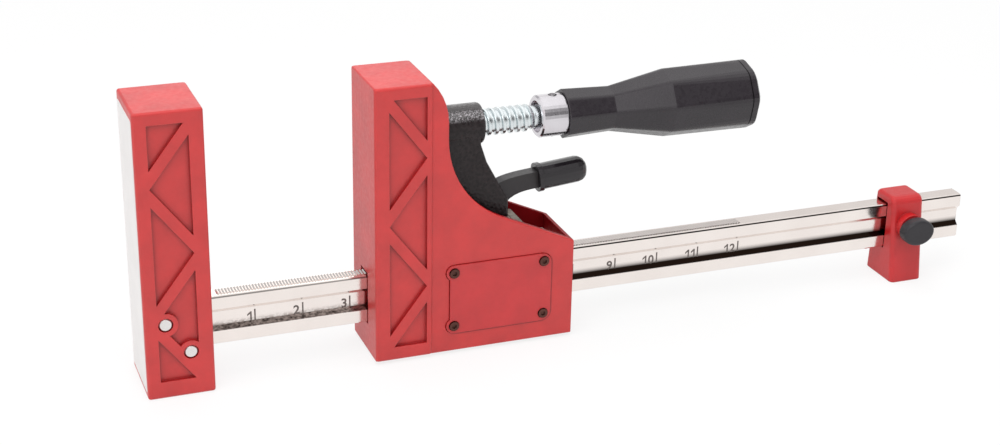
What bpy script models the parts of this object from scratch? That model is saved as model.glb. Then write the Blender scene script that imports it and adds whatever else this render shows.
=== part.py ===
"""Parallel clamp for woodworking, with a 12 inch scale.

A nickel-plated I-section rail carries a fixed jaw at one end and an end stop near the other. A sliding
arm with a clutch runs along the rail. It holds the nut of the clamping screw, and the screw pushes the
sliding jaw towards the fixed one, with both clamping faces square to the rail.

Metres, +Z up. +X runs along the rail from the fixed jaw to the rail's free end, and +Y points to the back.
The origin is the centre of the fixed jaw's foot, so z = 0 is the bench and y = 0 is the middle of the rail.
"""

import math

import bmesh
import bpy
from mathutils import Matrix, Vector

# Gaps and overruns
SEAT_GAP = 0.0003
SLIDE_GAP = 0.0004
CUT_OVERRUN = 0.002
WELD_DISTANCE = 0.000001

# Heights, from the bench up
RAIL_BASE = 0.0184
RAIL_HEIGHT = 0.027
SCREW_RISE = 0.0763
JAW_CROWN = 0.0312

# Fixed jaw and sliding jaw, shared sizes
JAW_WIDTH = 0.0414
JAW_EDGE_ROUND = 0.0014
FIXED_JAW_DEPTH = 0.0345
SLIDING_JAW_DEPTH = 0.031
SLIDING_JAW_LIFT = 0.0017
SLIDING_JAW_OPENING = 0.0852
COVER_WALL = 0.0042

# Zigzag pockets in the sides of both jaws
POCKET_DEPTH = 0.002
POCKET_FACE_BORDER = 0.0077
POCKET_REAR_BORDER = 0.0032
POCKET_TOP_BORDER = 0.0066
POCKET_BOTTOM_BORDER = 0.0093
POCKET_PITCH = 0.0357
POCKET_HALF_BASE = 0.0264
POCKET_APEX_DROP = 0.0035

# Rail
RAIL_THICKNESS = 0.0105
RAIL_FLANGE = 0.0073
RAIL_WEB = 0.0058
RAIL_CHAMFER = 0.0009
RAIL_INSET = 0.0042
RAIL_END = 0.4675
TOOTH_PITCH = 0.0016
TOOTH_DEPTH = 0.0005
TOOTH_RISE = 0.0006
TOOTH_BAND = 0.0056
TOOTH_START = 0.006
TOOTHLESS_END = 0.1453

# Rail pins of the fixed jaw: place along X, and how far inside the rail's top or bottom they lie
PIN_RADIUS = 0.0035
PIN_BOSS_RADIUS = 0.0064
PIN_CHAMFER = 0.0006
UPPER_PIN_X = -0.0065
UPPER_PIN_INSET = 0.0048
LOWER_PIN_X = 0.0056
LOWER_PIN_INSET = 0.0057

# Fixed jaw core
CORE_WEB = 0.018
CORE_FOOT_RISE = 0.0166
CORE_TOP_DEPTH = 0.015

# Sliding arm: along X from the sliding jaw's clamping face, with insets from its own boss and foot
ARM_WIDTH = 0.020
ARM_EDGE_ROUND = 0.0013
BOSS_RADIUS = 0.011
BOSS_START = 0.0268
BOSS_LENGTH = 0.0365
BOSS_EDGE_ROUND = 0.0014
FOOT_START = 0.0468
FOOT_LENGTH = 0.030
FOOT_WIDTH = 0.026
FOOT_RISE = 0.0149
FOOT_CLEARANCE = 0.0013
HEEL_HEIGHT = 0.0024
ARM_THROAT_INSET = 0.0022
ARM_THROAT_DROP = 0.0088
ARM_KNEE_INSET = 0.0124
ARM_KNEE_DROP = 0.0188
ARM_HEEL_RISE = 0.0146
ARM_CHIN_INSET = 0.0027
ARM_CHIN_DROP = 0.0132
ARM_SHIN_INSET = 0.0083
ARM_SHIN_RISE = 0.0212

# Clutch plates, their lean at rest, and their spring
CLUTCH_STANDOFF = 0.0034
CLUTCH_THICKNESS = 0.0038
CLUTCH_WIDTH = 0.024
CLUTCH_FLOOR_GAP = 0.0019
CLUTCH_LEAN = math.radians(3.3)
CLUTCH_SIDE_ROOM = 0.0006
CLUTCH_PLATES = ("front", "rear")
SPRING_RADIUS = 0.0027
SPRING_WIRE = 0.0004
SPRING_DROP = 0.0058
SPRING_LENGTH = 0.0165
SPRING_TURNS = 6
SPRING_POINTS_PER_TURN = 10

# Sliding jaw cover
HOUSING_STEP = 0.0009
HOUSING_WALL = 0.0034
HOUSING_FLOOR = 0.0032
HOUSING_TOP = 0.0035
HOUSING_BACK = 0.0034
REAR_WALL_RISE = 0.0112
COVER_WINDOW_GAP = 0.0009
HOOD_OVERHANG = 0.0088
HOOD_STRAIGHT = 0.009
HOOD_WALL_END = 0.0155
RIM_RADIUS = 0.051

# Glides of the sliding jaw
FRONT_GLIDE_LENGTH = 0.0075
FRONT_GLIDE_RISE = 0.0106
REAR_GLIDE_LENGTH = 0.0041
REAR_GLIDE_RISE = 0.0046

# Clamping screw: how far it feeds the jaw, and what it needs beyond that
JAW_FEED = 0.012
CLUTCH_SPARE = 0.0031
THREAD_SPARE = 0.0168
THREAD_RADIUS = 0.00725
SHANK_RADIUS = 0.006
SCREW_CHAMFER = 0.0008
NOSE_RADIUS = 0.0043
NOSE_LENGTH = 0.0018
NECK_RADIUS = 0.0033
THRUST_PLATE_THICKNESS = 0.0056
THRUST_PLATE_MARGIN = 0.0014
RETAINER_THICKNESS = 0.002
RETAINER_HALF = 0.0092

# Collar, cross pin and handle
COLLAR_STANDOFF = 0.0028
COLLAR_LENGTH = 0.0144
COLLAR_RECESS_ROOM = 0.0025
COLLAR_RECESS_DEPTH = 0.0024
COLLAR_WALL = 0.0028
COLLAR_CHAMFER = 0.0009
CROSS_PIN_RADIUS = 0.0021
CROSS_PIN_SHARE = 0.62
CROSS_PIN_PROUD = 0.0003
CROSS_PIN_DISH = 0.0008
HANDLE_LENGTH = 0.114
HANDLE_FRONT_FLAT = 0.0125
HANDLE_WAIST_FLAT = 0.0115
HANDLE_BELLY_FLAT = 0.0175
HANDLE_TAIL_FLAT = 0.0182
HANDLE_FRONT_ROUND = 0.0026
HANDLE_BELLY_ROUND = 0.0042
HANDLE_TAIL_ROUND = 0.0085
HANDLE_TWIST = math.radians(14.5)
HANDLE_DOME_TURN = math.radians(37)
HANDLE_BORE_DEPTH = 0.036
HANDLE_SIDES = 8

# Trigger: pivot in the arm's foot, lever up to the grip, and toe down to the clutch plates
TRIGGER_INSET = 0.0065
TRIGGER_PIVOT_RISE = 0.005
TRIGGER_THICKNESS = 0.007
TRIGGER_PIN_RADIUS = 0.0025
TRIGGER_ROOT_RADIUS = 0.007
TRIGGER_BACK_REACH = 0.0058
TRIGGER_BACK_RISE = 0.0127
TRIGGER_BELLY_REACH = 0.005
TRIGGER_BELLY_RISE = 0.0019
TRIGGER_BEND_SHARE = 0.72
TRIGGER_SLOPE = math.radians(5.5)
TRIGGER_TOE_DROP = 0.0078
TRIGGER_TOE_HEIGHT = 0.003
TRIGGER_SLOT_DEPTH = 0.0176
TRIGGER_SLOT_BELOW = 0.0131
TRIGGER_SLOT_ABOVE = 0.0054
TANG_HALF_HEIGHT = 0.0046
TANG_NECK = 0.0038

# Trigger grip
GRIP_STANDOFF = 0.019
GRIP_DROP = 0.0346
GRIP_LENGTH = 0.0288
GRIP_HEIGHT = 0.0140
GRIP_DEPTH = 0.0128
GRIP_ROUND = 0.0058
GRIP_LIP_LENGTH = 0.0026
GRIP_LIP_PROUD = 0.0006
GRIP_CLOSED_END = 0.004

# Side plate of the sliding jaw and its screws
PLATE_FRONT_BORDER = 0.0077
PLATE_REAR_BORDER = 0.0131
PLATE_HEIGHT = 0.0392
PLATE_THICKNESS = 0.002
PLATE_SINK = 0.0015
PLATE_CORNER = 0.0052
PLATE_EAR_RADIUS = 0.0043
PLATE_EAR_PROUD = 0.002
PLATE_SCREW_HEAD_RADIUS = 0.0026
PLATE_SCREW_HEAD_HEIGHT = 0.0014
PLATE_SCREW_SEAT = 0.0009
PLATE_SCREW_SHANK_RADIUS = 0.0015
PLATE_SCREW_SOCKET_RADIUS = 0.0014
PLATE_SCREW_SOCKET_DEPTH = 0.0009

# End stop
STOP_SETBACK = 0.0502
STOP_LENGTH = 0.0204
STOP_FRONT = 0.0173
STOP_BACK = 0.0108
STOP_FRONT_DRAFT = 0.0063
STOP_BACK_DRAFT = 0.0031
STOP_RISE = 0.0057
STOP_FRONT_ROUND = 0.0046
STOP_BACK_ROUND = 0.003
STOP_EDGE_ROUND = 0.0026
STOP_FOOT_ROUND = 0.0008
STOP_BOSS_RADIUS = 0.0078
STOP_BOSS_REACH = 0.0173
STOP_SCREW_RISE = 0.002
STOP_SCREW_RADIUS = 0.003
STOP_INSERT_RADIUS = 0.0046
STOP_INSERT_SINK = 0.0008
PAD_RADIUS = 0.0022
PAD_THICKNESS = 0.0011
KNOB_HALF_LENGTH = 0.0099
KNOB_HALF_HEIGHT = 0.0078
KNOB_THICKNESS = 0.0074
KNOB_EDGE_ROUND = 0.0016
KNOB_HUB_RADIUS = 0.0042
KNOB_HUB_LENGTH = 0.0011

# Facets of round pieces
ROUND_SIDES = 40
SMALL_ROUND_SIDES = 20
SHARP_ANGLE = math.radians(30)
HALF_TURN = math.pi
QUARTER_TURN = math.pi / 2

# Heights worked out from the sizes above
RAIL_TOP = RAIL_BASE + RAIL_HEIGHT
RAIL_CENTRE = RAIL_BASE + RAIL_HEIGHT / 2
TEETH_TOP = RAIL_TOP + TOOTH_RISE
SCREW_HEIGHT = RAIL_TOP + SCREW_RISE
JAW_TOP = SCREW_HEIGHT + JAW_CROWN
HOUSING_INNER_FLOOR = SLIDING_JAW_LIFT + HOUSING_FLOOR
FOOT_TOP = RAIL_TOP + FOOT_RISE
TRIGGER_Z = FOOT_TOP + TRIGGER_PIVOT_RISE
CLUTCH_BOTTOM = HOUSING_INNER_FLOOR + CLUTCH_FLOOR_GAP
CLUTCH_TOP = TRIGGER_Z
SPRING_HEIGHT = RAIL_BASE - SPRING_DROP
GRIP_HEIGHT_AT_START = SCREW_HEIGHT - GRIP_DROP
STOP_SCREW_HEIGHT = RAIL_CENTRE + STOP_SCREW_RISE

# Places along the rail
CLAMP_X = FIXED_JAW_DEPTH / 2
HEAD_X = CLAMP_X + SLIDING_JAW_OPENING
RAIL_START = RAIL_INSET - FIXED_JAW_DEPTH / 2
STOP_START = RAIL_END - STOP_SETBACK
PIN_PLACES = {
    "upper": (UPPER_PIN_X, RAIL_TOP - UPPER_PIN_INSET),
    "lower": (LOWER_PIN_X, RAIL_BASE + LOWER_PIN_INSET),
}

# Places along the head, from the sliding jaw's clamping face
BOSS_END = BOSS_START + BOSS_LENGTH
FOOT_END = FOOT_START + FOOT_LENGTH
TRIGGER_X = FOOT_END - TRIGGER_INSET
GRIP_START = FOOT_END + GRIP_STANDOFF
CLUTCH_START = FOOT_END + CLUTCH_STANDOFF
CLUTCH_MIDDLE = CLUTCH_START + CLUTCH_THICKNESS + SEAT_GAP / 2
CLUTCH_END = CLUTCH_START + 2 * CLUTCH_THICKNESS + SEAT_GAP
REAR_GLIDE_START = CLUTCH_END + JAW_FEED + CLUTCH_SPARE
HOUSING_INNER_END = REAR_GLIDE_START + REAR_GLIDE_LENGTH + SEAT_GAP
HOUSING_LENGTH = HOUSING_INNER_END + HOUSING_BACK
HOOD_BACK = SLIDING_JAW_DEPTH + HOOD_OVERHANG
THREAD_END = BOSS_END + JAW_FEED + THREAD_SPARE
COLLAR_START = THREAD_END + COLLAR_STANDOFF
COLLAR_END = COLLAR_START + COLLAR_LENGTH

# Widths
HOUSING_WIDTH = JAW_WIDTH - 2 * HOUSING_STEP
HOUSING_INSIDE = HOUSING_WIDTH - 2 * HOUSING_WALL
WINDOW_HALF = RAIL_THICKNESS / 2 + SLIDE_GAP
COLLAR_RECESS_RADIUS = SHANK_RADIUS + COLLAR_RECESS_ROOM
COLLAR_RADIUS = COLLAR_RECESS_RADIUS + COLLAR_WALL


def clear_scene():
    for old in list(bpy.data.objects):
        bpy.data.objects.remove(old)


def collection(name):
    made = bpy.data.collections.new(name)
    bpy.context.scene.collection.children.link(made)
    return made


def material(name, colour, roughness, metallic):
    made = bpy.data.materials.new(name)
    made.use_nodes = True
    shader = made.node_tree.nodes["Principled BSDF"]
    shader.inputs["Base Color"].default_value = (*colour, 1.0)
    shader.inputs["Roughness"].default_value = roughness
    shader.inputs["Metallic"].default_value = metallic
    made.diffuse_color = (*colour, 1.0)
    return made


def mesh_object(name, shape, target):
    """Turn a bmesh into an object of a collection, with smooth round faces."""
    bmesh.ops.recalc_face_normals(shape, faces=shape.faces)
    mesh = bpy.data.meshes.new(name)
    shape.to_mesh(mesh)
    shape.free()
    mesh.shade_smooth()
    mesh.set_sharp_from_angle(angle=SHARP_ANGLE)
    made = bpy.data.objects.new(name, mesh)
    target.objects.link(made)
    return made


def helper(made):
    """Keep a cutter or a joined shape out of the model."""
    made.hide_render = True
    made.display_type = "WIRE"
    return made


def box_shape(low, high):
    shape = bmesh.new()
    bmesh.ops.create_cube(shape, size=1.0)
    size = Vector(high) - Vector(low)
    middle = (Vector(high) + Vector(low)) / 2
    bmesh.ops.scale(shape, vec=size, verts=shape.verts)
    bmesh.ops.translate(shape, vec=middle, verts=shape.verts)
    return shape


def rod_shape(radius, start, end, sides=ROUND_SIDES):
    """Round bar between two points."""
    start, end = Vector(start), Vector(end)
    shape = bmesh.new()
    bmesh.ops.create_cone(shape, cap_ends=True, segments=sides, radius1=radius, radius2=radius,
                          depth=(end - start).length)
    turn = Vector((0, 0, 1)).rotation_difference(end - start).to_matrix()
    bmesh.ops.rotate(shape, matrix=turn, verts=shape.verts)
    bmesh.ops.translate(shape, vec=(start + end) / 2, verts=shape.verts)
    return shape


def outline_shape(name, outline, low, high, axis):
    """Solid of a flat outline, extruded from low to high along Y (outline in X, Z) or X (outline in Y, Z)."""
    curve = bpy.data.curves.new(name, "CURVE")
    curve.dimensions = "2D"
    curve.fill_mode = "BOTH"
    curve.extrude = (high - low) / 2
    spline = curve.splines.new("POLY")
    spline.points.add(len(outline) - 1)
    for point, (across, up) in zip(spline.points, outline):
        point.co = (across, up, 0, 1)
    spline.use_cyclic_u = True
    guide = bpy.data.objects.new(name, curve)
    bpy.context.scene.collection.objects.link(guide)
    graph = bpy.context.evaluated_depsgraph_get()
    flat = bpy.data.meshes.new_from_object(guide.evaluated_get(graph))
    bpy.data.objects.remove(guide)
    shape = bmesh.new()
    shape.from_mesh(flat)
    bpy.data.meshes.remove(flat)
    bmesh.ops.remove_doubles(shape, verts=shape.verts, dist=WELD_DISTANCE)
    bmesh.ops.dissolve_limit(shape, angle_limit=math.radians(0.1), verts=shape.verts, edges=shape.edges)
    middle = (low + high) / 2
    if axis == "Y":
        place = Matrix(((1, 0, 0, 0), (0, 0, -1, middle), (0, 1, 0, 0), (0, 0, 0, 1)))
    else:
        place = Matrix(((0, 0, 1, middle), (1, 0, 0, 0), (0, 1, 0, 0), (0, 0, 0, 1)))
    shape.transform(place)
    return shape


def turned_shape(name, profile, sides=ROUND_SIDES):
    """Solid turned about X from (x, radius) points, which end on the axis or close on themselves."""
    line = bmesh.new()
    knots = [line.verts.new((radius, 0, -x)) for x, radius in profile]
    for first, second in zip(knots, knots[1:]):
        line.edges.new((first, second))
    on_axis = profile[0][1] == 0
    if not on_axis:
        line.edges.new((knots[-1], knots[0]))
    mesh = bpy.data.meshes.new(name)
    line.to_mesh(mesh)
    line.free()
    guide = bpy.data.objects.new(name, mesh)
    bpy.context.scene.collection.objects.link(guide)
    screw = guide.modifiers.new("Turn", "SCREW")
    screw.axis = "Z"
    screw.steps = sides
    screw.render_steps = sides
    screw.use_merge_vertices = True
    screw.merge_threshold = WELD_DISTANCE
    graph = bpy.context.evaluated_depsgraph_get()
    turned = bpy.data.meshes.new_from_object(guide.evaluated_get(graph))
    bpy.data.objects.remove(guide)
    shape = bmesh.new()
    shape.from_mesh(turned)
    bpy.data.meshes.remove(turned)
    bmesh.ops.remove_doubles(shape, verts=shape.verts, dist=WELD_DISTANCE)
    bmesh.ops.rotate(shape, matrix=Matrix.Rotation(-QUARTER_TURN, 3, "Y"), verts=shape.verts)
    return shape


def add_shape(shape, extra):
    """Put a second, separate body into a shape."""
    mesh = bpy.data.meshes.new("extra")
    extra.to_mesh(mesh)
    extra.free()
    shape.from_mesh(mesh)
    bpy.data.meshes.remove(mesh)
    return shape


def joined(shapes):
    whole = shapes[0]
    for extra in shapes[1:]:
        add_shape(whole, extra)
    return whole


def round_edges(made, width, segments=2, angle=SHARP_ANGLE):
    bevel = made.modifiers.new("Rounding", "BEVEL")
    bevel.width = width
    bevel.segments = segments
    bevel.limit_method = "ANGLE"
    bevel.angle_limit = angle
    return made


def cut(made, cutter):
    step = made.modifiers.new("Cut", "BOOLEAN")
    step.operation = "DIFFERENCE"
    step.object = helper(cutter)
    return made


def fuse(made, other):
    step = made.modifiers.new("Join", "BOOLEAN")
    step.operation = "UNION"
    step.object = helper(other)
    return made


def arc(centre_x, centre_z, radius, start, end, steps):
    """Points of an arc, with angles in radians, counted from +X towards +Z."""
    points = []
    for step in range(steps + 1):
        angle = start + (end - start) * step / steps
        points.append((centre_x + radius * math.cos(angle), centre_z + radius * math.sin(angle)))
    return points


def rounded_corner(before, corner, after, radius, steps):
    """Points of the arc that rounds one corner of a flat outline."""
    corner = Vector(corner)
    back = (Vector(before) - corner).normalized()
    ahead = (Vector(after) - corner).normalized()
    half = back.angle(ahead) / 2
    centre = corner + (back + ahead).normalized() * (radius / math.sin(half))
    first = corner + back * (radius / math.tan(half)) - centre
    last = corner + ahead * (radius / math.tan(half)) - centre
    start = math.atan2(first.y, first.x)
    turn = math.atan2(first.x * last.y - first.y * last.x, first.dot(last))
    return arc(centre.x, centre.y, radius, start, start + turn, steps)


def below(corners, limit):
    """Part of a flat outline with z under a limit."""
    kept = []
    for (x0, z0), (x1, z1) in zip(corners, corners[1:] + corners[:1]):
        if z0 <= limit:
            kept.append((x0, z0))
        if (z0 <= limit) != (z1 <= limit):
            share = (limit - z0) / (z1 - z0)
            kept.append((x0 + share * (x1 - x0), limit))
    return kept


def above(corners, limit):
    flipped = [(x, -z) for x, z in corners]
    return [(x, -z) for x, z in below(flipped, -limit)]


def pocket_outlines(face_x, inward, face_side_low):
    """Triangles of one jaw side. The first has its base on the side away from the clamping face.

    Those with their base at the clamping face end at face_side_low, and the others at the bottom border.
    """
    near = face_x + inward * POCKET_FACE_BORDER
    far = face_x + inward * (SLIDING_JAW_DEPTH - POCKET_REAR_BORDER)
    first_apex = JAW_TOP - POCKET_APEX_DROP
    count = math.ceil((first_apex + POCKET_HALF_BASE - POCKET_BOTTOM_BORDER) / POCKET_PITCH)
    outlines = []
    for index in range(count):
        apex_z = first_apex - index * POCKET_PITCH
        at_face = index % 2 == 1
        base_x, apex_x = (near, far) if at_face else (far, near)
        triangle = [(base_x, apex_z - POCKET_HALF_BASE), (apex_x, apex_z),
                    (base_x, apex_z + POCKET_HALF_BASE)]
        triangle = below(triangle, JAW_TOP - POCKET_TOP_BORDER)
        outlines.append(above(triangle, face_side_low if at_face else POCKET_BOTTOM_BORDER))
    return outlines


def pocket_cutter(name, face_x, inward, face_side_low, target):
    """Shallow pockets for the front and the back of a jaw, as one cutter."""
    shapes = []
    for outline in pocket_outlines(face_x, inward, face_side_low):
        floor = JAW_WIDTH / 2 - POCKET_DEPTH
        outside = JAW_WIDTH / 2 + CUT_OVERRUN
        shapes.append(outline_shape(name, outline, -outside, -floor, "Y"))
        shapes.append(outline_shape(name, outline, floor, outside, "Y"))
    return mesh_object(name, joined(shapes), target)


def rail_section():
    """I-section of the rail as (y, z), once round."""
    half = RAIL_THICKNESS / 2
    web = RAIL_WEB / 2
    slope = half - web
    corner = RAIL_CHAMFER
    quarter = [(half - corner, RAIL_HEIGHT / 2), (half, RAIL_HEIGHT / 2 - corner),
               (half, RAIL_HEIGHT / 2 - RAIL_FLANGE), (web, RAIL_HEIGHT / 2 - RAIL_FLANGE - slope)]
    right = quarter + [(y, -z) for y, z in reversed(quarter)]
    ring = right + [(-y, z) for y, z in reversed(right)]
    return [(y, z + RAIL_CENTRE) for y, z in ring]


def teeth_outline():
    """Fine teeth along the top of the rail as (x, z)."""
    start = CLAMP_X + TOOTH_START
    count = round((RAIL_END - TOOTHLESS_END - start) / TOOTH_PITCH)
    points = [(start, RAIL_TOP - TOOTH_PITCH)]
    for index in range(count):
        left = start + index * TOOTH_PITCH
        points.append((left, TEETH_TOP - TOOTH_DEPTH))
        points.append((left + TOOTH_PITCH / 2, TEETH_TOP))
    end = start + count * TOOTH_PITCH
    points.append((end, TEETH_TOP - TOOTH_DEPTH))
    points.append((end, RAIL_TOP - TOOTH_PITCH))
    return points


def rail_window(name, low_x, high_x, side_gap, height_gap, target):
    """Cutter for the hole that a piece needs round the rail."""
    half = RAIL_THICKNESS / 2 + side_gap
    low = (low_x, -half, RAIL_BASE - height_gap)
    high = (high_x, half, TEETH_TOP + height_gap)
    return mesh_object(name, box_shape(low, high), target)


def make_rail(parts, cutters):
    rail = mesh_object("rail", outline_shape("rail", rail_section(), RAIL_START, RAIL_END, "X"), parts)
    teeth = outline_shape("teeth", teeth_outline(), -TOOTH_BAND / 2, TOOTH_BAND / 2, "Y")
    fuse(rail, mesh_object("rail_teeth", teeth, cutters))
    holes = []
    for x, z in PIN_PLACES.values():
        reach = RAIL_THICKNESS
        holes.append(rod_shape(PIN_RADIUS + SEAT_GAP, (x, -reach, z), (x, reach, z), SMALL_ROUND_SIDES))
    cut(rail, mesh_object("rail_pin_holes", joined(holes), cutters))
    return rail


def pin_hole_cutter(name, target):
    holes = []
    for x, z in PIN_PLACES.values():
        start = (x, -JAW_WIDTH, z)
        end = (x, JAW_WIDTH, z)
        holes.append(rod_shape(PIN_RADIUS + SEAT_GAP, start, end, SMALL_ROUND_SIDES))
    return mesh_object(name, joined(holes), target)


def make_fixed_jaw_cover(parts, cutters):
    half = FIXED_JAW_DEPTH / 2
    block = box_shape((-half, -JAW_WIDTH / 2, 0), (half, JAW_WIDTH / 2, JAW_TOP))
    cover = mesh_object("fixed_jaw_cover", block, parts)
    round_edges(cover, JAW_EDGE_ROUND, segments=3)
    pockets = pocket_cutter("fixed_jaw_pockets", CLAMP_X, -1, PIN_PLACES["lower"][1], cutters)
    bosses = []
    for x, z in PIN_PLACES.values():
        reach = JAW_WIDTH
        bosses.append(rod_shape(PIN_BOSS_RADIUS, (x, -reach, z), (x, reach, z), SMALL_ROUND_SIDES))
    for index, boss in enumerate(bosses):
        cut(pockets, mesh_object(f"fixed_jaw_pin_boss_{index}", boss, cutters))
    cut(cover, pockets)
    inside = box_shape((-half + COVER_WALL, -JAW_WIDTH / 2 + COVER_WALL, COVER_WALL),
                       (half - COVER_WALL, JAW_WIDTH / 2 - COVER_WALL, JAW_TOP - COVER_WALL))
    cut(cover, mesh_object("fixed_jaw_inside", inside, cutters))
    cut(cover, rail_window("fixed_jaw_window", 0, half + CUT_OVERRUN, SLIDE_GAP, SLIDE_GAP, cutters))
    cut(cover, pin_hole_cutter("fixed_jaw_pin_holes", cutters))
    return cover


def make_fixed_jaw_core(parts, cutters):
    """Cast steel arm inside the cover: a foot that holds the rail and a tapered web up to the top."""
    half = FIXED_JAW_DEPTH / 2 - COVER_WALL - SEAT_GAP
    side = JAW_WIDTH / 2 - COVER_WALL - SEAT_GAP
    floor = COVER_WALL + SEAT_GAP
    roof = JAW_TOP - COVER_WALL - SEAT_GAP
    foot_top = RAIL_TOP + CORE_FOOT_RISE
    core = mesh_object("fixed_jaw_core", box_shape((-half, -side, floor), (half, side, foot_top)), parts)
    taper = [(-half, foot_top / 2), (half, foot_top / 2), (half, roof), (half - CORE_TOP_DEPTH, roof),
             (-half, foot_top + CORE_TOP_DEPTH)]
    web = outline_shape("web", taper, -CORE_WEB / 2, CORE_WEB / 2, "Y")
    fuse(core, mesh_object("fixed_jaw_core_web", web, cutters))
    window = rail_window("fixed_jaw_core_window", RAIL_START - SEAT_GAP, half + CUT_OVERRUN,
                         SEAT_GAP, SEAT_GAP, cutters)
    cut(core, window)
    cut(core, pin_hole_cutter("fixed_jaw_core_pin_holes", cutters))
    return core


def make_fixed_jaw_pin(name, place, parts):
    x, z = place
    reach = JAW_WIDTH / 2 - SEAT_GAP
    edge = PIN_RADIUS - PIN_CHAMFER
    profile = [(-reach, 0), (-reach, edge),
               (PIN_CHAMFER - reach, PIN_RADIUS), (reach - PIN_CHAMFER, PIN_RADIUS),
               (reach, edge), (reach, 0)]
    shape = turned_shape(name, profile, SMALL_ROUND_SIDES)
    bmesh.ops.rotate(shape, matrix=Matrix.Rotation(QUARTER_TURN, 3, "Z"), verts=shape.verts)
    bmesh.ops.translate(shape, vec=(x, 0, z), verts=shape.verts)
    return mesh_object(name, shape, parts)


def rim_points():
    """Top edge of the open back: a curve under the hood, then its tangent down to the rear wall."""
    centre_x = HOOD_BACK + RIM_RADIUS
    rear_top = RAIL_TOP + REAR_WALL_RISE
    along = HOUSING_LENGTH - centre_x
    down = rear_top - SCREW_HEIGHT
    reach = math.hypot(along, down)
    touch = 2 * HALF_TURN + math.atan2(down, along) - math.acos(RIM_RADIUS / reach)
    return [(HOUSING_LENGTH, rear_top)] + arc(centre_x, SCREW_HEIGHT, RIM_RADIUS, touch, HALF_TURN, 12)


def housing_outline():
    """Side view of the sliding jaw cover as (x, z) from the clamping face."""
    straight_top = SCREW_HEIGHT + HOOD_STRAIGHT
    rise = JAW_TOP - straight_top
    hood_round = (HOOD_OVERHANG ** 2 + rise ** 2) / (2 * HOOD_OVERHANG)
    tip = math.asin(rise / hood_round)
    hood = arc(HOOD_BACK - hood_round, straight_top, hood_round, 0, tip, 5)
    return [(0, SLIDING_JAW_LIFT), (HOUSING_LENGTH, SLIDING_JAW_LIFT)] + rim_points() + hood + [(0, JAW_TOP)]


def housing_hollow():
    """Side view of the space inside, which opens through the curved rim."""
    roof = JAW_TOP - HOUSING_TOP
    hood_floor = SCREW_HEIGHT + HOOD_WALL_END
    hood_inner = HOOD_BACK - HOUSING_BACK
    return [(COVER_WALL, HOUSING_INNER_FLOOR), (HOUSING_INNER_END, HOUSING_INNER_FLOOR),
            (HOUSING_INNER_END, hood_floor), (hood_inner, hood_floor),
            (SLIDING_JAW_DEPTH - HOUSING_BACK, roof), (COVER_WALL, roof)]


def plate_span():
    """Middle and length of the side plate along X."""
    start = SLIDING_JAW_DEPTH + PLATE_FRONT_BORDER
    end = HOUSING_LENGTH - PLATE_REAR_BORDER
    return (start + end) / 2, end - start


def plate_screw_places():
    middle, length = plate_span()
    for up in (1, -1):
        for along in (-1, 1):
            x = middle + along * (length / 2 - PLATE_EAR_RADIUS)
            yield x, RAIL_CENTRE + up * (PLATE_HEIGHT / 2 - PLATE_EAR_RADIUS)


def plate_outline(room):
    """Side plate as (x, z), with round ears about its two front screws, and with room all round."""
    middle, length = plate_span()
    ear_x = middle - length / 2 + PLATE_EAR_RADIUS
    rear = middle + length / 2 - PLATE_CORNER
    corner_rise = PLATE_HEIGHT / 2 - PLATE_CORNER
    ear_rise = PLATE_HEIGHT / 2 - PLATE_EAR_RADIUS
    corner = PLATE_CORNER + room
    ear = PLATE_EAR_RADIUS + room
    notch = math.acos((PLATE_EAR_RADIUS - PLATE_EAR_PROUD + room) / ear)
    points = arc(rear, RAIL_CENTRE - corner_rise, corner, -QUARTER_TURN, 0, 5)
    points += arc(rear, RAIL_CENTRE + corner_rise, corner, 0, QUARTER_TURN, 5)
    points += arc(ear_x, RAIL_CENTRE + ear_rise, ear, QUARTER_TURN, HALF_TURN + notch, 9)
    points += arc(ear_x, RAIL_CENTRE - ear_rise, ear, HALF_TURN - notch, HALF_TURN + QUARTER_TURN, 9)
    return points


def make_jaw_cover(parts, cutters):
    half = HOUSING_WIDTH / 2
    cover = mesh_object("jaw_cover", outline_shape("cover", housing_outline(), -half, half, "Y"), parts)
    round_edges(cover, JAW_EDGE_ROUND / 2, segments=2)
    wide = box_shape((0, -JAW_WIDTH / 2, SLIDING_JAW_LIFT), (SLIDING_JAW_DEPTH, JAW_WIDTH / 2, JAW_TOP))
    block = mesh_object("jaw_block", wide, cutters)
    round_edges(block, JAW_EDGE_ROUND, segments=3)
    fuse(cover, block)
    cut(cover, pocket_cutter("jaw_pockets", 0, 1, POCKET_BOTTOM_BORDER, cutters))
    inside = HOUSING_INSIDE / 2
    hollow = outline_shape("inside", housing_hollow(), -inside, inside, "Y")
    cut(cover, mesh_object("jaw_inside", hollow, cutters))
    start = -CUT_OVERRUN
    end = HOUSING_LENGTH + CUT_OVERRUN
    cut(cover, rail_window("jaw_window", start, end, COVER_WINDOW_GAP, COVER_WINDOW_GAP, cutters))
    recess = outline_shape("recess", plate_outline(SEAT_GAP), -half - CUT_OVERRUN, -half + PLATE_SINK, "Y")
    cut(cover, mesh_object("plate_recess", recess, cutters))
    holes = []
    for x, z in plate_screw_places():
        radius = PLATE_SCREW_SHANK_RADIUS + SEAT_GAP
        start = (x, -half - CUT_OVERRUN, z)
        end = (x, -inside + CUT_OVERRUN, z)
        holes.append(rod_shape(radius, start, end, SMALL_ROUND_SIDES))
    cut(cover, mesh_object("plate_screw_holes", joined(holes), cutters))
    return cover


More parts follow.
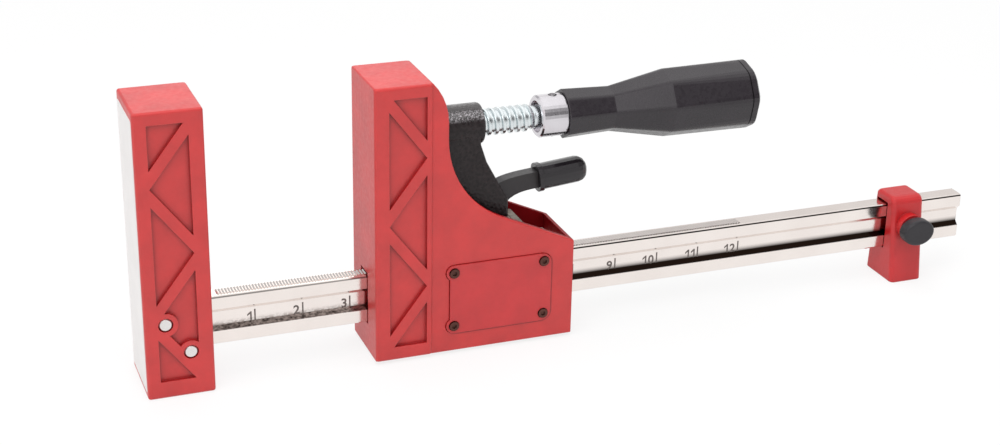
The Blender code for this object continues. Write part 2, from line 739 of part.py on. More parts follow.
def make_side_plate(parts, cutters):
    back = -HOUSING_WIDTH / 2 + PLATE_SINK - SEAT_GAP
    front = back - PLATE_THICKNESS
    plate = mesh_object("side_plate", outline_shape("plate", plate_outline(0), front, back, "Y"), parts)
    holes = []
    seats = []
    for x, z in plate_screw_places():
        radius = PLATE_SCREW_SHANK_RADIUS + SEAT_GAP
        seat = PLATE_SCREW_HEAD_RADIUS + SEAT_GAP
        start = (x, front - CUT_OVERRUN, z)
        holes.append(rod_shape(radius, start, (x, back + CUT_OVERRUN, z), SMALL_ROUND_SIDES))
        seats.append(rod_shape(seat, start, (x, front + PLATE_SCREW_SEAT, z), SMALL_ROUND_SIDES))
    cut(plate, mesh_object("plate_holes", joined(holes), cutters))
    cut(plate, mesh_object("plate_seats", joined(seats), cutters))
    return plate


def make_plate_screw(name, place, parts, cutters):
    """Socket-head screw, turned about Y with its head to the front."""
    x, z = place
    plate_front = -HOUSING_WIDTH / 2 + PLATE_SINK - SEAT_GAP - PLATE_THICKNESS
    under_head = plate_front + PLATE_SCREW_SEAT - SEAT_GAP
    head_top = under_head - PLATE_SCREW_HEAD_HEIGHT
    tip = -HOUSING_INSIDE / 2 - SEAT_GAP
    profile = [(0, 0), (0, PLATE_SCREW_HEAD_RADIUS), (PLATE_SCREW_HEAD_HEIGHT, PLATE_SCREW_HEAD_RADIUS),
               (PLATE_SCREW_HEAD_HEIGHT, PLATE_SCREW_SHANK_RADIUS),
               (tip - head_top, PLATE_SCREW_SHANK_RADIUS), (tip - head_top, 0)]
    shape = turned_shape(name, profile, SMALL_ROUND_SIDES)
    bmesh.ops.rotate(shape, matrix=Matrix.Rotation(QUARTER_TURN, 3, "Z"), verts=shape.verts)
    bmesh.ops.translate(shape, vec=(x, head_top, z), verts=shape.verts)
    screw = mesh_object(name, shape, parts)
    socket = rod_shape(PLATE_SCREW_SOCKET_RADIUS, (x, head_top - CUT_OVERRUN, z),
                       (x, head_top + PLATE_SCREW_SOCKET_DEPTH, z), 6)
    return cut(screw, mesh_object(f"{name}_socket", socket, cutters))


def make_glide(name, low_x, length, top, parts, cutters):
    """Nylon block that carries the sliding jaw on the rail."""
    high_x = low_x + length
    half = HOUSING_INSIDE / 2 - SEAT_GAP
    block = box_shape((low_x, -half, HOUSING_INNER_FLOOR + SEAT_GAP), (high_x, half, top))
    glide = mesh_object(name, block, parts)
    window = rail_window(f"{name}_window", low_x - CUT_OVERRUN, high_x + CUT_OVERRUN, SLIDE_GAP, SLIDE_GAP,
                         cutters)
    return cut(glide, window)


def nose_start():
    """Where the nose of the screw begins, inside the thrust plate."""
    return COVER_WALL + SEAT_GAP + THRUST_PLATE_THICKNESS - NOSE_LENGTH


def make_thrust_plate(parts, cutters):
    start = COVER_WALL + SEAT_GAP
    end = start + THRUST_PLATE_THICKNESS
    half = HOUSING_INSIDE / 2 - THRUST_PLATE_MARGIN
    block = box_shape((start, -half, SCREW_HEIGHT - half), (end, half, SCREW_HEIGHT + half))
    plate = mesh_object("thrust_plate", block, parts)
    pocket = rod_shape(NOSE_RADIUS + SEAT_GAP, (nose_start() - SEAT_GAP, 0, SCREW_HEIGHT),
                       (end + CUT_OVERRUN, 0, SCREW_HEIGHT), SMALL_ROUND_SIDES)
    return cut(plate, mesh_object("thrust_pocket", pocket, cutters))


def retainer_span():
    start = COVER_WALL + SEAT_GAP + THRUST_PLATE_THICKNESS + SEAT_GAP
    return start, start + RETAINER_THICKNESS


def make_thrust_retainer(parts, cutters):
    """Plate that keeps the screw's nose in the thrust plate, so that the screw also pulls the jaw back."""
    start, end = retainer_span()
    half = RETAINER_HALF
    low = (start, -half, SCREW_HEIGHT - half)
    plate = mesh_object("thrust_retainer", box_shape(low, (end, half, SCREW_HEIGHT + half)), parts)
    hole = rod_shape(NECK_RADIUS + SEAT_GAP, (start - CUT_OVERRUN, 0, SCREW_HEIGHT),
                     (end + CUT_OVERRUN, 0, SCREW_HEIGHT), SMALL_ROUND_SIDES)
    return cut(plate, mesh_object("retainer_hole", hole, cutters))


def cross_pin_x():
    return COLLAR_START + COLLAR_LENGTH * CROSS_PIN_SHARE


def cross_pin_cutter(name, target):
    x = cross_pin_x()
    reach = 2 * COLLAR_RADIUS
    hole = rod_shape(CROSS_PIN_RADIUS + SEAT_GAP, (x, 0, -reach), (x, 0, reach), SMALL_ROUND_SIDES)
    return mesh_object(name, hole, target)


def make_spindle(parts, cutters):
    """Clamping screw about its own axis, with the thread as a plain cylinder."""
    nose = nose_start()
    neck = nose + NOSE_LENGTH
    thread_start = retainer_span()[1] + SLIDE_GAP
    shank_end = COLLAR_END + HANDLE_BORE_DEPTH - SEAT_GAP
    profile = [(nose, 0), (nose, NOSE_RADIUS), (neck, NOSE_RADIUS), (neck, NECK_RADIUS),
               (thread_start, NECK_RADIUS),
               (thread_start, THREAD_RADIUS - SCREW_CHAMFER), (thread_start + SCREW_CHAMFER, THREAD_RADIUS),
               (THREAD_END, THREAD_RADIUS), (THREAD_END, SHANK_RADIUS),
               (shank_end, SHANK_RADIUS), (shank_end, 0)]
    spindle = mesh_object("spindle", turned_shape("spindle", profile), parts)
    return cut(spindle, cross_pin_cutter("spindle_pin_hole", cutters))


def make_collar(parts, cutters):
    end = COLLAR_END
    bore = SHANK_RADIUS + SEAT_GAP
    recess = COLLAR_START + COLLAR_RECESS_DEPTH
    edge = COLLAR_RADIUS - COLLAR_CHAMFER
    profile = [(COLLAR_START, COLLAR_RECESS_RADIUS), (COLLAR_START, edge),
               (COLLAR_START + COLLAR_CHAMFER, COLLAR_RADIUS), (end, COLLAR_RADIUS), (end, bore),
               (recess, bore), (recess, COLLAR_RECESS_RADIUS)]
    collar = mesh_object("spindle_collar", turned_shape("collar", profile), parts)
    return cut(collar, cross_pin_cutter("collar_pin_hole", cutters))


def make_cross_pin(parts):
    """Pin through the collar and the screw, with dished ends."""
    reach = COLLAR_RADIUS + CROSS_PIN_PROUD
    rim = CROSS_PIN_RADIUS - CROSS_PIN_DISH / 2
    dish = reach - CROSS_PIN_DISH
    profile = [(-dish, 0), (-reach, rim), (CROSS_PIN_DISH - reach, CROSS_PIN_RADIUS),
               (reach - CROSS_PIN_DISH, CROSS_PIN_RADIUS), (reach, rim), (dish, 0)]
    shape = turned_shape("cross_pin", profile, SMALL_ROUND_SIDES)
    bmesh.ops.rotate(shape, matrix=Matrix.Rotation(QUARTER_TURN, 3, "Y"), verts=shape.verts)
    bmesh.ops.translate(shape, vec=(cross_pin_x(), 0, 0), verts=shape.verts)
    return mesh_object("handle_pin", shape, parts)


def handle_stations():
    """Stations of the handle: share of its length, distance of its flats from the axis, and edge rounding."""
    waist_share = 0.234
    belly_share = 0.515
    shoulder_share = 0.946
    stations = [(0, HANDLE_FRONT_FLAT, HANDLE_FRONT_ROUND),
                (waist_share, HANDLE_WAIST_FLAT, HANDLE_FRONT_ROUND),
                (belly_share, HANDLE_BELLY_FLAT, HANDLE_BELLY_ROUND),
                (shoulder_share, HANDLE_TAIL_FLAT, HANDLE_TAIL_ROUND)]
    dome_steps = 5
    rise = 1 - math.cos(HANDLE_DOME_TURN)
    for step in range(1, dome_steps):
        angle = HANDLE_DOME_TURN * (1 - step / dome_steps)
        share = 1 - (1 - shoulder_share) * (1 - math.cos(angle)) / rise
        narrowing = math.sin(angle) / math.sin(HANDLE_DOME_TURN)
        stations.append((share, HANDLE_TAIL_FLAT * narrowing, HANDLE_TAIL_ROUND * narrowing))
    return stations


def octagon(flat, edge_round):
    """Octagon about the axis as (y, z), with rounded corners."""
    half_side = math.pi / HANDLE_SIDES
    reach = (flat - edge_round) / math.cos(half_side)
    points = []
    for side in range(HANDLE_SIDES):
        direction = 2 * half_side * (side + 1 / 2) + HANDLE_TWIST
        centre_y = reach * math.cos(direction)
        centre_z = reach * math.sin(direction)
        points += arc(centre_y, centre_z, edge_round, direction - half_side, direction + half_side, 3)
    return points


def make_handle(parts, cutters):
    """Octagonal handle, lofted through its stations."""
    start = COLLAR_END + SEAT_GAP
    shape = bmesh.new()
    rings = []
    for share, flat, edge_round in handle_stations():
        x = start + share * HANDLE_LENGTH
        rings.append([shape.verts.new((x, y, z)) for y, z in octagon(flat, edge_round)])
    count = len(rings[0])
    for first, second in zip(rings, rings[1:]):
        for index in range(count):
            after = (index + 1) % count
            shape.faces.new((first[index], first[after], second[after], second[index]))
    shape.faces.new(rings[0])
    shape.faces.new(rings[-1])
    handle = mesh_object("handle", shape, parts)
    bore = rod_shape(SHANK_RADIUS + SEAT_GAP, (start - CUT_OVERRUN, 0, 0), (start + HANDLE_BORE_DEPTH, 0, 0))
    return cut(handle, mesh_object("handle_bore", bore, cutters))


def arm_outline():
    """Side view of the cast arm as (x, z) from the clamping face, from the screw down to the foot."""
    chin_x = BOSS_START + ARM_CHIN_INSET
    throat_x = BOSS_END - ARM_THROAT_INSET
    return [(chin_x, SCREW_HEIGHT), (chin_x, SCREW_HEIGHT - ARM_CHIN_DROP),
            (FOOT_START - ARM_SHIN_INSET, FOOT_TOP + ARM_SHIN_RISE), (FOOT_START, FOOT_TOP),
            (FOOT_START, RAIL_CENTRE), (FOOT_END, RAIL_CENTRE), (FOOT_END, TRIGGER_Z + ARM_HEEL_RISE),
            (FOOT_END - ARM_KNEE_INSET, SCREW_HEIGHT - ARM_KNEE_DROP),
            (throat_x, SCREW_HEIGHT - ARM_THROAT_DROP), (throat_x, SCREW_HEIGHT)]


def make_sliding_arm(parts, cutters):
    half = ARM_WIDTH / 2
    arm = mesh_object("sliding_arm", outline_shape("arm", arm_outline(), -half, half, "Y"), parts)
    round_edges(arm, ARM_EDGE_ROUND)
    barrel = rod_shape(BOSS_RADIUS, (BOSS_START, 0, SCREW_HEIGHT), (BOSS_END, 0, SCREW_HEIGHT))
    boss = mesh_object("arm_boss", barrel, cutters)
    round_edges(boss, BOSS_EDGE_ROUND)
    fuse(arm, boss)
    low = (FOOT_START + SEAT_GAP, -FOOT_WIDTH / 2, HOUSING_INNER_FLOOR + FOOT_CLEARANCE)
    high = (FOOT_END - SEAT_GAP, FOOT_WIDTH / 2, FOOT_TOP - ARM_EDGE_ROUND)
    foot = mesh_object("arm_foot", box_shape(low, high), cutters)
    round_edges(foot, ARM_EDGE_ROUND)
    fuse(arm, foot)
    heel = box_shape((FOOT_START + FOOT_WIDTH / 2, -ARM_WIDTH / 2, low[2]),
                     (CLUTCH_START - SEAT_GAP, ARM_WIDTH / 2, low[2] + HEEL_HEIGHT))
    fuse(arm, mesh_object("arm_heel", heel, cutters))
    bore = rod_shape(THREAD_RADIUS + SEAT_GAP, (BOSS_START - CUT_OVERRUN, 0, SCREW_HEIGHT),
                     (BOSS_END + CUT_OVERRUN, 0, SCREW_HEIGHT))
    cut(arm, mesh_object("arm_bore", bore, cutters))
    window = rail_window("arm_window", FOOT_START - CUT_OVERRUN, FOOT_END + CUT_OVERRUN, SLIDE_GAP, SLIDE_GAP,
                         cutters)
    cut(arm, window)
    slot_half = TRIGGER_THICKNESS / 2 + SLIDE_GAP
    slot = box_shape((FOOT_END - TRIGGER_SLOT_DEPTH, -slot_half, TRIGGER_Z - TRIGGER_SLOT_BELOW),
                     (FOOT_END + CUT_OVERRUN, slot_half, GRIP_HEIGHT_AT_START + TRIGGER_SLOT_ABOVE))
    cut(arm, mesh_object("arm_slot", slot, cutters))
    cut(arm, mesh_object("arm_pin_hole", trigger_pin_rod(SEAT_GAP, CUT_OVERRUN), cutters))
    spring_bore = rod_shape(SPRING_RADIUS + 2 * SPRING_WIRE + SEAT_GAP,
                            (spring_start() - SEAT_GAP, 0, SPRING_HEIGHT),
                            (FOOT_END + CUT_OVERRUN, 0, SPRING_HEIGHT), SMALL_ROUND_SIDES)
    cut(arm, mesh_object("arm_spring_bore", spring_bore, cutters))
    return arm


def trigger_pin_rod(radial_gap, overrun):
    reach = ARM_WIDTH / 2 - SEAT_GAP + overrun
    return rod_shape(TRIGGER_PIN_RADIUS + radial_gap, (TRIGGER_X, -reach, TRIGGER_Z),
                     (TRIGGER_X, reach, TRIGGER_Z), SMALL_ROUND_SIDES)


def tang_frame():
    """Where the grip starts on the trigger's straight end, and the directions along and across it."""
    along = Vector((math.cos(TRIGGER_SLOPE), math.sin(TRIGGER_SLOPE)))
    return Vector((GRIP_START, GRIP_HEIGHT_AT_START)), along, Vector((-along.y, along.x))


def bend(start, end, arrival, steps):
    """Smooth edge that leaves its start upwards and comes to its end along a direction."""
    pull = TRIGGER_BEND_SHARE * abs(end.y - start.y)
    first = start + Vector((0, pull))
    last = end - arrival * min(pull, TRIGGER_BEND_SHARE * (end.x - start.x))
    points = []
    for step in range(steps + 1):
        share = step / steps
        rest = 1 - share
        point = (start * rest ** 3 + first * (3 * share * rest ** 2) + last * (3 * share ** 2 * rest)
                 + end * share ** 3)
        points.append(tuple(point))
    return points


def trigger_outline():
    """Side view of the trigger lever from the clamping face: straight tang, belly, toe, root and back."""
    middle, along, square = tang_frame()
    pivot = Vector((TRIGGER_X, TRIGGER_Z))
    neck = middle - along * TANG_NECK
    end = middle + along * (GRIP_LENGTH - GRIP_CLOSED_END)
    belly_start = pivot + Vector((TRIGGER_BELLY_REACH, TRIGGER_BELLY_RISE))
    back_start = pivot + Vector((-TRIGGER_BACK_REACH, TRIGGER_BACK_RISE))
    belly = bend(belly_start, neck - square * TANG_HALF_HEIGHT, along, 8)
    back = bend(back_start, neck - along * TANG_NECK + square * TANG_HALF_HEIGHT, along, 8)
    root = arc(TRIGGER_X, TRIGGER_Z, TRIGGER_ROOT_RADIUS, math.radians(300), HALF_TURN, 8)
    toe_low = TRIGGER_Z - TRIGGER_TOE_DROP - TRIGGER_TOE_HEIGHT / 2
    toe_high = toe_low + TRIGGER_TOE_HEIGHT
    toe_x = clutch_face_x(toe_high) - SEAT_GAP
    tang = [tuple(end + square * TANG_HALF_HEIGHT), tuple(end - square * TANG_HALF_HEIGHT)]
    return tang + belly[::-1] + [(toe_x, toe_high), (toe_x, toe_low)] + root + back


def make_trigger(parts, cutters):
    half = TRIGGER_THICKNESS / 2
    lever = mesh_object("trigger", outline_shape("trigger", trigger_outline(), -half, half, "Y"), parts)
    cut(lever, mesh_object("trigger_hole", trigger_pin_rod(SEAT_GAP, CUT_OVERRUN), cutters))
    return lever


def make_grip(parts, cutters):
    """Moulded sleeve on the end of the trigger, with a lip at its open end."""
    start = tang_frame()[0]
    place = Matrix.Translation((start.x, 0, start.y)) @ Matrix.Rotation(-TRIGGER_SLOPE, 4, "Y")
    body = box_shape((0, -GRIP_DEPTH / 2, -GRIP_HEIGHT / 2), (GRIP_LENGTH, GRIP_DEPTH / 2, GRIP_HEIGHT / 2))
    closed = [edge for edge in body.edges if max(vert.co.x for vert in edge.verts) > GRIP_LIP_LENGTH]
    bmesh.ops.bevel(body, geom=closed, offset=GRIP_ROUND, segments=4, affect="EDGES", profile=0.5)
    body.transform(place)
    grip = mesh_object("trigger_grip", body, parts)
    lip_y = GRIP_DEPTH / 2 + GRIP_LIP_PROUD
    lip_z = GRIP_HEIGHT / 2 + GRIP_LIP_PROUD
    lip_shape = box_shape((0, -lip_y, -lip_z), (GRIP_LIP_LENGTH, lip_y, lip_z))
    upright = [edge for edge in lip_shape.edges
               if abs(edge.verts[0].co.x - edge.verts[1].co.x) > WELD_DISTANCE]
    bmesh.ops.bevel(lip_shape, geom=upright, offset=GRIP_ROUND, segments=4, affect="EDGES", profile=0.5)
    lip_shape.transform(place)
    fuse(grip, mesh_object("grip_lip", lip_shape, cutters))
    hollow_y = TRIGGER_THICKNESS / 2 + SEAT_GAP
    hollow_z = TANG_HALF_HEIGHT + SEAT_GAP
    hollow_end = GRIP_LENGTH - GRIP_CLOSED_END + SEAT_GAP
    hollow = box_shape((-CUT_OVERRUN, -hollow_y, -hollow_z), (hollow_end, hollow_y, hollow_z))
    hollow.transform(place)
    return cut(grip, mesh_object("grip_hollow", hollow, cutters))


def clutch_face_x(height):
    """Front face of the leaning clutch plates at a height."""
    half_stack = CLUTCH_MIDDLE - CLUTCH_START
    return CLUTCH_MIDDLE - half_stack / math.cos(CLUTCH_LEAN) - (height - RAIL_CENTRE) * math.tan(CLUTCH_LEAN)


def clutch_tilt_room():
    """Room above and below the rail that lets the pair of plates lean without touching it."""
    half_stack = CLUTCH_MIDDLE - CLUTCH_START
    return SLIDE_GAP + half_stack * math.tan(CLUTCH_LEAN)


def make_clutch_plate(name, index, parts, cutters):
    start = CLUTCH_START + index * (CLUTCH_THICKNESS + SEAT_GAP)
    end = start + CLUTCH_THICKNESS
    half = CLUTCH_WIDTH / 2
    plate = mesh_object(name, box_shape((start, -half, CLUTCH_BOTTOM), (end, half, CLUTCH_TOP)), parts)
    window = rail_window(f"{name}_window", start - CUT_OVERRUN, end + CUT_OVERRUN, CLUTCH_SIDE_ROOM,
                         clutch_tilt_room(), cutters)
    return cut(plate, window)


def spring_start():
    return clutch_face_x(SPRING_HEIGHT + SPRING_RADIUS + SPRING_WIRE) - SEAT_GAP - SPRING_LENGTH


def make_clutch_spring(parts):
    """Coil spring that tips the clutch plates so that they bite on the rail."""
    curve = bpy.data.curves.new("clutch_spring", "CURVE")
    curve.dimensions = "3D"
    curve.bevel_depth = SPRING_WIRE
    curve.bevel_resolution = 1
    curve.use_fill_caps = True
    count = SPRING_TURNS * SPRING_POINTS_PER_TURN
    spline = curve.splines.new("POLY")
    spline.points.add(count)
    run = SPRING_LENGTH - 2 * SPRING_WIRE
    for index, point in enumerate(spline.points):
        angle = 2 * math.pi * index / SPRING_POINTS_PER_TURN
        x = spring_start() + SPRING_WIRE + run * index / count
        point.co = (x, SPRING_RADIUS * math.cos(angle), SPRING_HEIGHT + SPRING_RADIUS * math.sin(angle), 1)
    places = [point.co.to_3d() for point in spline.points]
    half = SPRING_POINTS_PER_TURN // 2
    apart = [(late - early).length for index, early in enumerate(places) for late in places[index + half:]]
    print(f"Least gap between the spring's turns: {min(apart) - 2 * SPRING_WIRE:.5f} m")
    spring = bpy.data.objects.new("clutch_spring", curve)
    parts.objects.link(spring)
    return spring


def stop_outline():
    """End view of the stop as (y, z). Its walls lean in from the foot to a rounded roof."""
    top = RAIL_TOP + STOP_RISE
    foot_front = (-STOP_FRONT, 0)
    foot_back = (STOP_BACK, 0)
    roof_front = (STOP_FRONT_DRAFT - STOP_FRONT, top)
    roof_back = (STOP_BACK - STOP_BACK_DRAFT, top)
    front = rounded_corner(foot_front, roof_front, roof_back, STOP_FRONT_ROUND, 4)
    back = rounded_corner(roof_front, roof_back, foot_back, STOP_BACK_ROUND, 4)
    return [foot_front] + front + back + [foot_back]


def make_end_stop(parts, cutters):
    """Stop from its left face, with a thick front wall and a boss for the thumb screw."""
    shape = outline_shape("end_stop", stop_outline(), 0, STOP_LENGTH, "X")
    bmesh.ops.recalc_face_normals(shape, faces=shape.faces)
    rims = [edge for edge in shape.edges if edge.calc_face_angle() > SHARP_ANGLE
            and max(vert.co.z for vert in edge.verts) > STOP_FOOT_ROUND]
    bmesh.ops.bevel(shape, geom=rims, offset=STOP_EDGE_ROUND, segments=4, affect="EDGES", profile=0.5)
    stop = mesh_object("end_stop", shape, parts)
    round_edges(stop, STOP_FOOT_ROUND)
    middle = STOP_LENGTH / 2
    boss = rod_shape(STOP_BOSS_RADIUS, (middle, -STOP_BOSS_REACH, STOP_SCREW_HEIGHT),
                     (middle, STOP_FRONT_DRAFT - STOP_FRONT, STOP_SCREW_HEIGHT))
    fuse(stop, mesh_object("stop_boss", boss, cutters))
    window = rail_window("stop_window", -CUT_OVERRUN, STOP_LENGTH + CUT_OVERRUN, SLIDE_GAP, SLIDE_GAP,
                         cutters)
    cut(stop, window)
    hole = rod_shape(STOP_INSERT_RADIUS + SEAT_GAP,
                     (middle, -STOP_BOSS_REACH - CUT_OVERRUN, STOP_SCREW_HEIGHT),
                     (middle, -RAIL_THICKNESS / 2, STOP_SCREW_HEIGHT), SMALL_ROUND_SIDES)
    return cut(stop, mesh_object("stop_hole", hole, cutters))


def make_stop_insert(parts):
    """Threaded bush in the front wall of the stop, about Y."""
    front = STOP_INSERT_SINK - STOP_BOSS_REACH
    back = -WINDOW_HALF - STOP_INSERT_SINK
    bore = STOP_SCREW_RADIUS + SEAT_GAP
    profile = [(front, bore), (front, STOP_INSERT_RADIUS), (back, STOP_INSERT_RADIUS), (back, bore)]
    shape = turned_shape("stop_insert", profile, SMALL_ROUND_SIDES)
    bmesh.ops.rotate(shape, matrix=Matrix.Rotation(QUARTER_TURN, 3, "Z"), verts=shape.verts)
    bmesh.ops.translate(shape, vec=(STOP_LENGTH / 2, 0, STOP_SCREW_HEIGHT), verts=shape.verts)
    return mesh_object("stop_insert", shape, parts)


def pad_span():
    """Span of the pressure pad along Y, next to the web of the rail."""
    back = -RAIL_WEB / 2 - SEAT_GAP
    return back - PAD_THICKNESS, back


def make_stop_pad(parts):
    front, back = pad_span()
    middle = STOP_LENGTH / 2
    pad = rod_shape(PAD_RADIUS, (middle, front, STOP_SCREW_HEIGHT), (middle, back, STOP_SCREW_HEIGHT),
                    SMALL_ROUND_SIDES)
    return mesh_object("stop_pad", pad, parts)


def knob_back():
    """Plane of the knob's hub that faces the boss of the stop."""
    return -STOP_BOSS_REACH - SEAT_GAP


def make_stop_screw(parts):
    """Threaded stud about its own axis, from inside the knob to the pressure pad."""
    pad_front = pad_span()[0]
    start = knob_back() - KNOB_HUB_LENGTH
    stud = rod_shape(STOP_SCREW_RADIUS, (0, start, 0), (0, pad_front - SEAT_GAP, 0), SMALL_ROUND_SIDES)
    return mesh_object("stop_screw", stud, parts)


def make_stop_knob(parts, cutters):
    """Oval thumb knob about its own axis, with a round hub."""
    back = knob_back()
    blade_back = back - KNOB_HUB_LENGTH
    blade = rod_shape(1.0, (0, blade_back - KNOB_THICKNESS, 0), (0, blade_back, 0))
    bmesh.ops.scale(blade, vec=(KNOB_HALF_LENGTH, 1, KNOB_HALF_HEIGHT), verts=blade.verts)
    knob = mesh_object("stop_knob", blade, parts)
    round_edges(knob, KNOB_EDGE_ROUND, segments=3)
    hub = rod_shape(KNOB_HUB_RADIUS, (0, blade_back - KNOB_THICKNESS / 2, 0), (0, back, 0), SMALL_ROUND_SIDES)
    fuse(knob, mesh_object("knob_hub", hub, cutters))
    hole = rod_shape(STOP_SCREW_RADIUS + SEAT_GAP, (0, blade_back - SEAT_GAP, 0), (0, back + CUT_OVERRUN, 0),
                     SMALL_ROUND_SIDES)
    return cut(knob, mesh_object("knob_hole", hole, cutters))


def group(name, place, target, parent=None):
    """Empty on a joint's axis, which carries the pieces of one moving body."""
    empty = bpy.data.objects.new(name, None)
    empty.location = place
    empty.parent = parent
    target.objects.link(empty)
    return empty


def hold(empty, made, shift):
    """Carry a piece by an empty. Its mesh was drawn from a datum that lies at shift from the empty."""
    pieces = [made] + [step.object for step in made.modifiers if step.type == "BOOLEAN"]
    for piece in pieces:
        piece.parent = empty
        piece.location = shift
        for step in piece.modifiers:
            if piece is not made and step.type == "BOOLEAN":
                step.object.parent = empty
                step.object.location = shift


def main():
    clear_scene()
    parts = collection("parallel_clamp")
    cutters = collection("cutters")
    red = material("red plastic", (0.52, 0.045, 0.045), 0.38, 0)
    nickel = material("nickel plate", (0.80, 0.78, 0.76), 0.18, 1)
    zinc = material("zinc plate", (0.66, 0.70, 0.74), 0.30, 1)
    chrome = material("polished steel", (0.72, 0.71, 0.70), 0.12, 1)
    steel = material("plain steel", (0.40, 0.39, 0.37), 0.45, 1)
    iron = material("black cast iron", (0.022, 0.021, 0.021), 0.55, 0)
    black = material("black plastic", (0.028, 0.027, 0.028), 0.42, 0)
    vinyl = material("black vinyl", (0.022, 0.021, 0.022), 0.30, 0)
    nylon = material("white nylon", (0.72, 0.70, 0.66), 0.50, 0)
    brass = material("brass", (0.62, 0.44, 0.16), 0.30, 1)

    base = group("base", (0, 0, 0), parts)
    head = group("head", (HEAD_X, 0, 0), parts, base)
    screw_axis = group("screw_axis", (0, 0, SCREW_HEIGHT), parts, head)
    trigger_axis = group("trigger_axis", (TRIGGER_X, 0, TRIGGER_Z), parts, head)
    clutch_axis = group("clutch_axis", (CLUTCH_MIDDLE, 0, RAIL_CENTRE), parts, head)
    clutch_axis.rotation_euler = (0, -CLUTCH_LEAN, 0)
    stop = group("stop", (STOP_START, 0, 0), parts, base)
    knob_axis = group("knob_axis", (STOP_LENGTH / 2, 0, STOP_SCREW_HEIGHT), parts, stop)

    here = (0, 0, 0)
    placed = [
        (base, here, nickel, make_rail(parts, cutters)),
        (base, here, red, make_fixed_jaw_cover(parts, cutters)),
        (base, here, iron, make_fixed_jaw_core(parts, cutters)),
        (head, here, red, make_jaw_cover(parts, cutters)),
        (head, here, red, make_side_plate(parts, cutters)),
        (head, here, nylon, make_glide("jaw_glide_front", COVER_WALL + SEAT_GAP, FRONT_GLIDE_LENGTH,
                                       RAIL_TOP + FRONT_GLIDE_RISE, parts, cutters)),
        (head, here, nylon, make_glide("jaw_glide_rear", REAR_GLIDE_START, REAR_GLIDE_LENGTH,
                                       RAIL_TOP + REAR_GLIDE_RISE, parts, cutters)),
        (head, here, steel, make_thrust_plate(parts, cutters)),
        (head, here, steel, make_thrust_retainer(parts, cutters)),
        (head, here, iron, make_sliding_arm(parts, cutters)),
        (head, here, zinc, make_clutch_spring(parts)),
        (head, here, steel, mesh_object("trigger_pin", trigger_pin_rod(0, 0), parts)),
        (screw_axis, here, zinc, make_spindle(parts, cutters)),
        (screw_axis, here, chrome, make_collar(parts, cutters)),
        (screw_axis, here, steel, make_cross_pin(parts)),
        (screw_axis, here, black, make_handle(parts, cutters)),
        (trigger_axis, (-TRIGGER_X, 0, -TRIGGER_Z), iron, make_trigger(parts, cutters)),
        (trigger_axis, (-TRIGGER_X, 0, -TRIGGER_Z), vinyl, make_grip(parts, cutters)),
        (stop, here, red, make_end_stop(parts, cutters)),
        (stop, here, brass, make_stop_insert(parts)),
        (stop, here, brass, make_stop_pad(parts)),
        (knob_axis, here, zinc, make_stop_screw(parts)),
        (knob_axis, here, black, make_stop_knob(parts, cutters)),
    ]
    for name, place in PIN_PLACES.items():
        placed.append((base, here, chrome, make_fixed_jaw_pin(f"fixed_jaw_pin_{name}", place, parts)))
    for index, place in enumerate(plate_screw_places(), start=1):
        screw = make_plate_screw(f"side_plate_screw_{index}", place, parts, cutters)
        placed.append((head, here, steel, screw))
    for index, side in enumerate(CLUTCH_PLATES):
        plate = make_clutch_plate(f"clutch_plate_{side}", index, parts, cutters)
        placed.append((clutch_axis, (-CLUTCH_MIDDLE, 0, -RAIL_CENTRE), steel, plate))
    for empty, shift, look, made in placed:
        hold(empty, made, shift)
        made.data.materials.append(look)
    bpy.context.view_layer.update()


main()
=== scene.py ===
"""Looks of the parallel clamp: materials, thread, coil, scale, label sheet, camera and light, in metres."""
import math

import bmesh
import bpy
from mathutils import Matrix, Vector


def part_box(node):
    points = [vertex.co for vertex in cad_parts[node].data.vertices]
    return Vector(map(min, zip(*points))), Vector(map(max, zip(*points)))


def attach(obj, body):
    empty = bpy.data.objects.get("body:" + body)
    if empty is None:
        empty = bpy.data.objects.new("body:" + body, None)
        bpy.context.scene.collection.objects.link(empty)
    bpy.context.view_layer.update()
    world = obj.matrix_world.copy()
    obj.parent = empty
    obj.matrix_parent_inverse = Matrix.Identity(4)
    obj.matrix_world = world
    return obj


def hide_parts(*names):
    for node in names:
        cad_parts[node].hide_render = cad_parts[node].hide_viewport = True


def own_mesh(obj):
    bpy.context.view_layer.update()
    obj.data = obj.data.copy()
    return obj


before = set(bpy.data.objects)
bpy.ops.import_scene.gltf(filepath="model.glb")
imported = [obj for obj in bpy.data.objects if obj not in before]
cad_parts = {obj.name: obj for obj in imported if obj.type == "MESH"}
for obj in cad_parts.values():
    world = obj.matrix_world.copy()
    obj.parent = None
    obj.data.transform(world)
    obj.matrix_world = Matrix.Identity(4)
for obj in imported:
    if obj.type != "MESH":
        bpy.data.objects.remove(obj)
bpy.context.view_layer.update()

# Inch marks and numbers on the front of the rail's web
INCH = 0.0254
SCALE_START = 0.01725
INCH_MARKS = 12
WEB_FRONT = -0.0029
MARK_LOW = 0.0281
MARK_HIGH = 0.0343
MARK_WIDTH = 0.0008
MARK_PROUD = 0.00005
DIGIT_GAP = 0.0017
DIGIT_SPACE = 0.0011
DIGIT_LOW = 0.0281
DIGIT_HEIGHT = 0.0051
DIGIT_SIZE = 0.0070
DIGIT_BOLD = 0.00016
DIGIT_STEPS = 5
DIGIT_WELD = 0.0000002
ONE_OUTLINE = ((0.0, 0.0), (0.17, 0.0), (0.17, 1.0), (0.04, 1.0), (-0.30, 0.72), (-0.30, 0.52), (0.0, 0.74))

# Where the rail's painted dark reflections lie: heights, how far off the middle plane the top chamfers start,
# and the stretch in which their near look gives way to their far look
GROOVE_LOW = 0.0257
GROOVE_HIGH = 0.02805
GROOVE_SOFT = 0.0003
GROOVE_FADE = 0.0313
CHAMFER_LOW = 0.0443
CHAMFER_HIGH = 0.0450
CHAMFER_INNER = 0.0041
NEAR_END = 0.10
FAR_END = 0.20

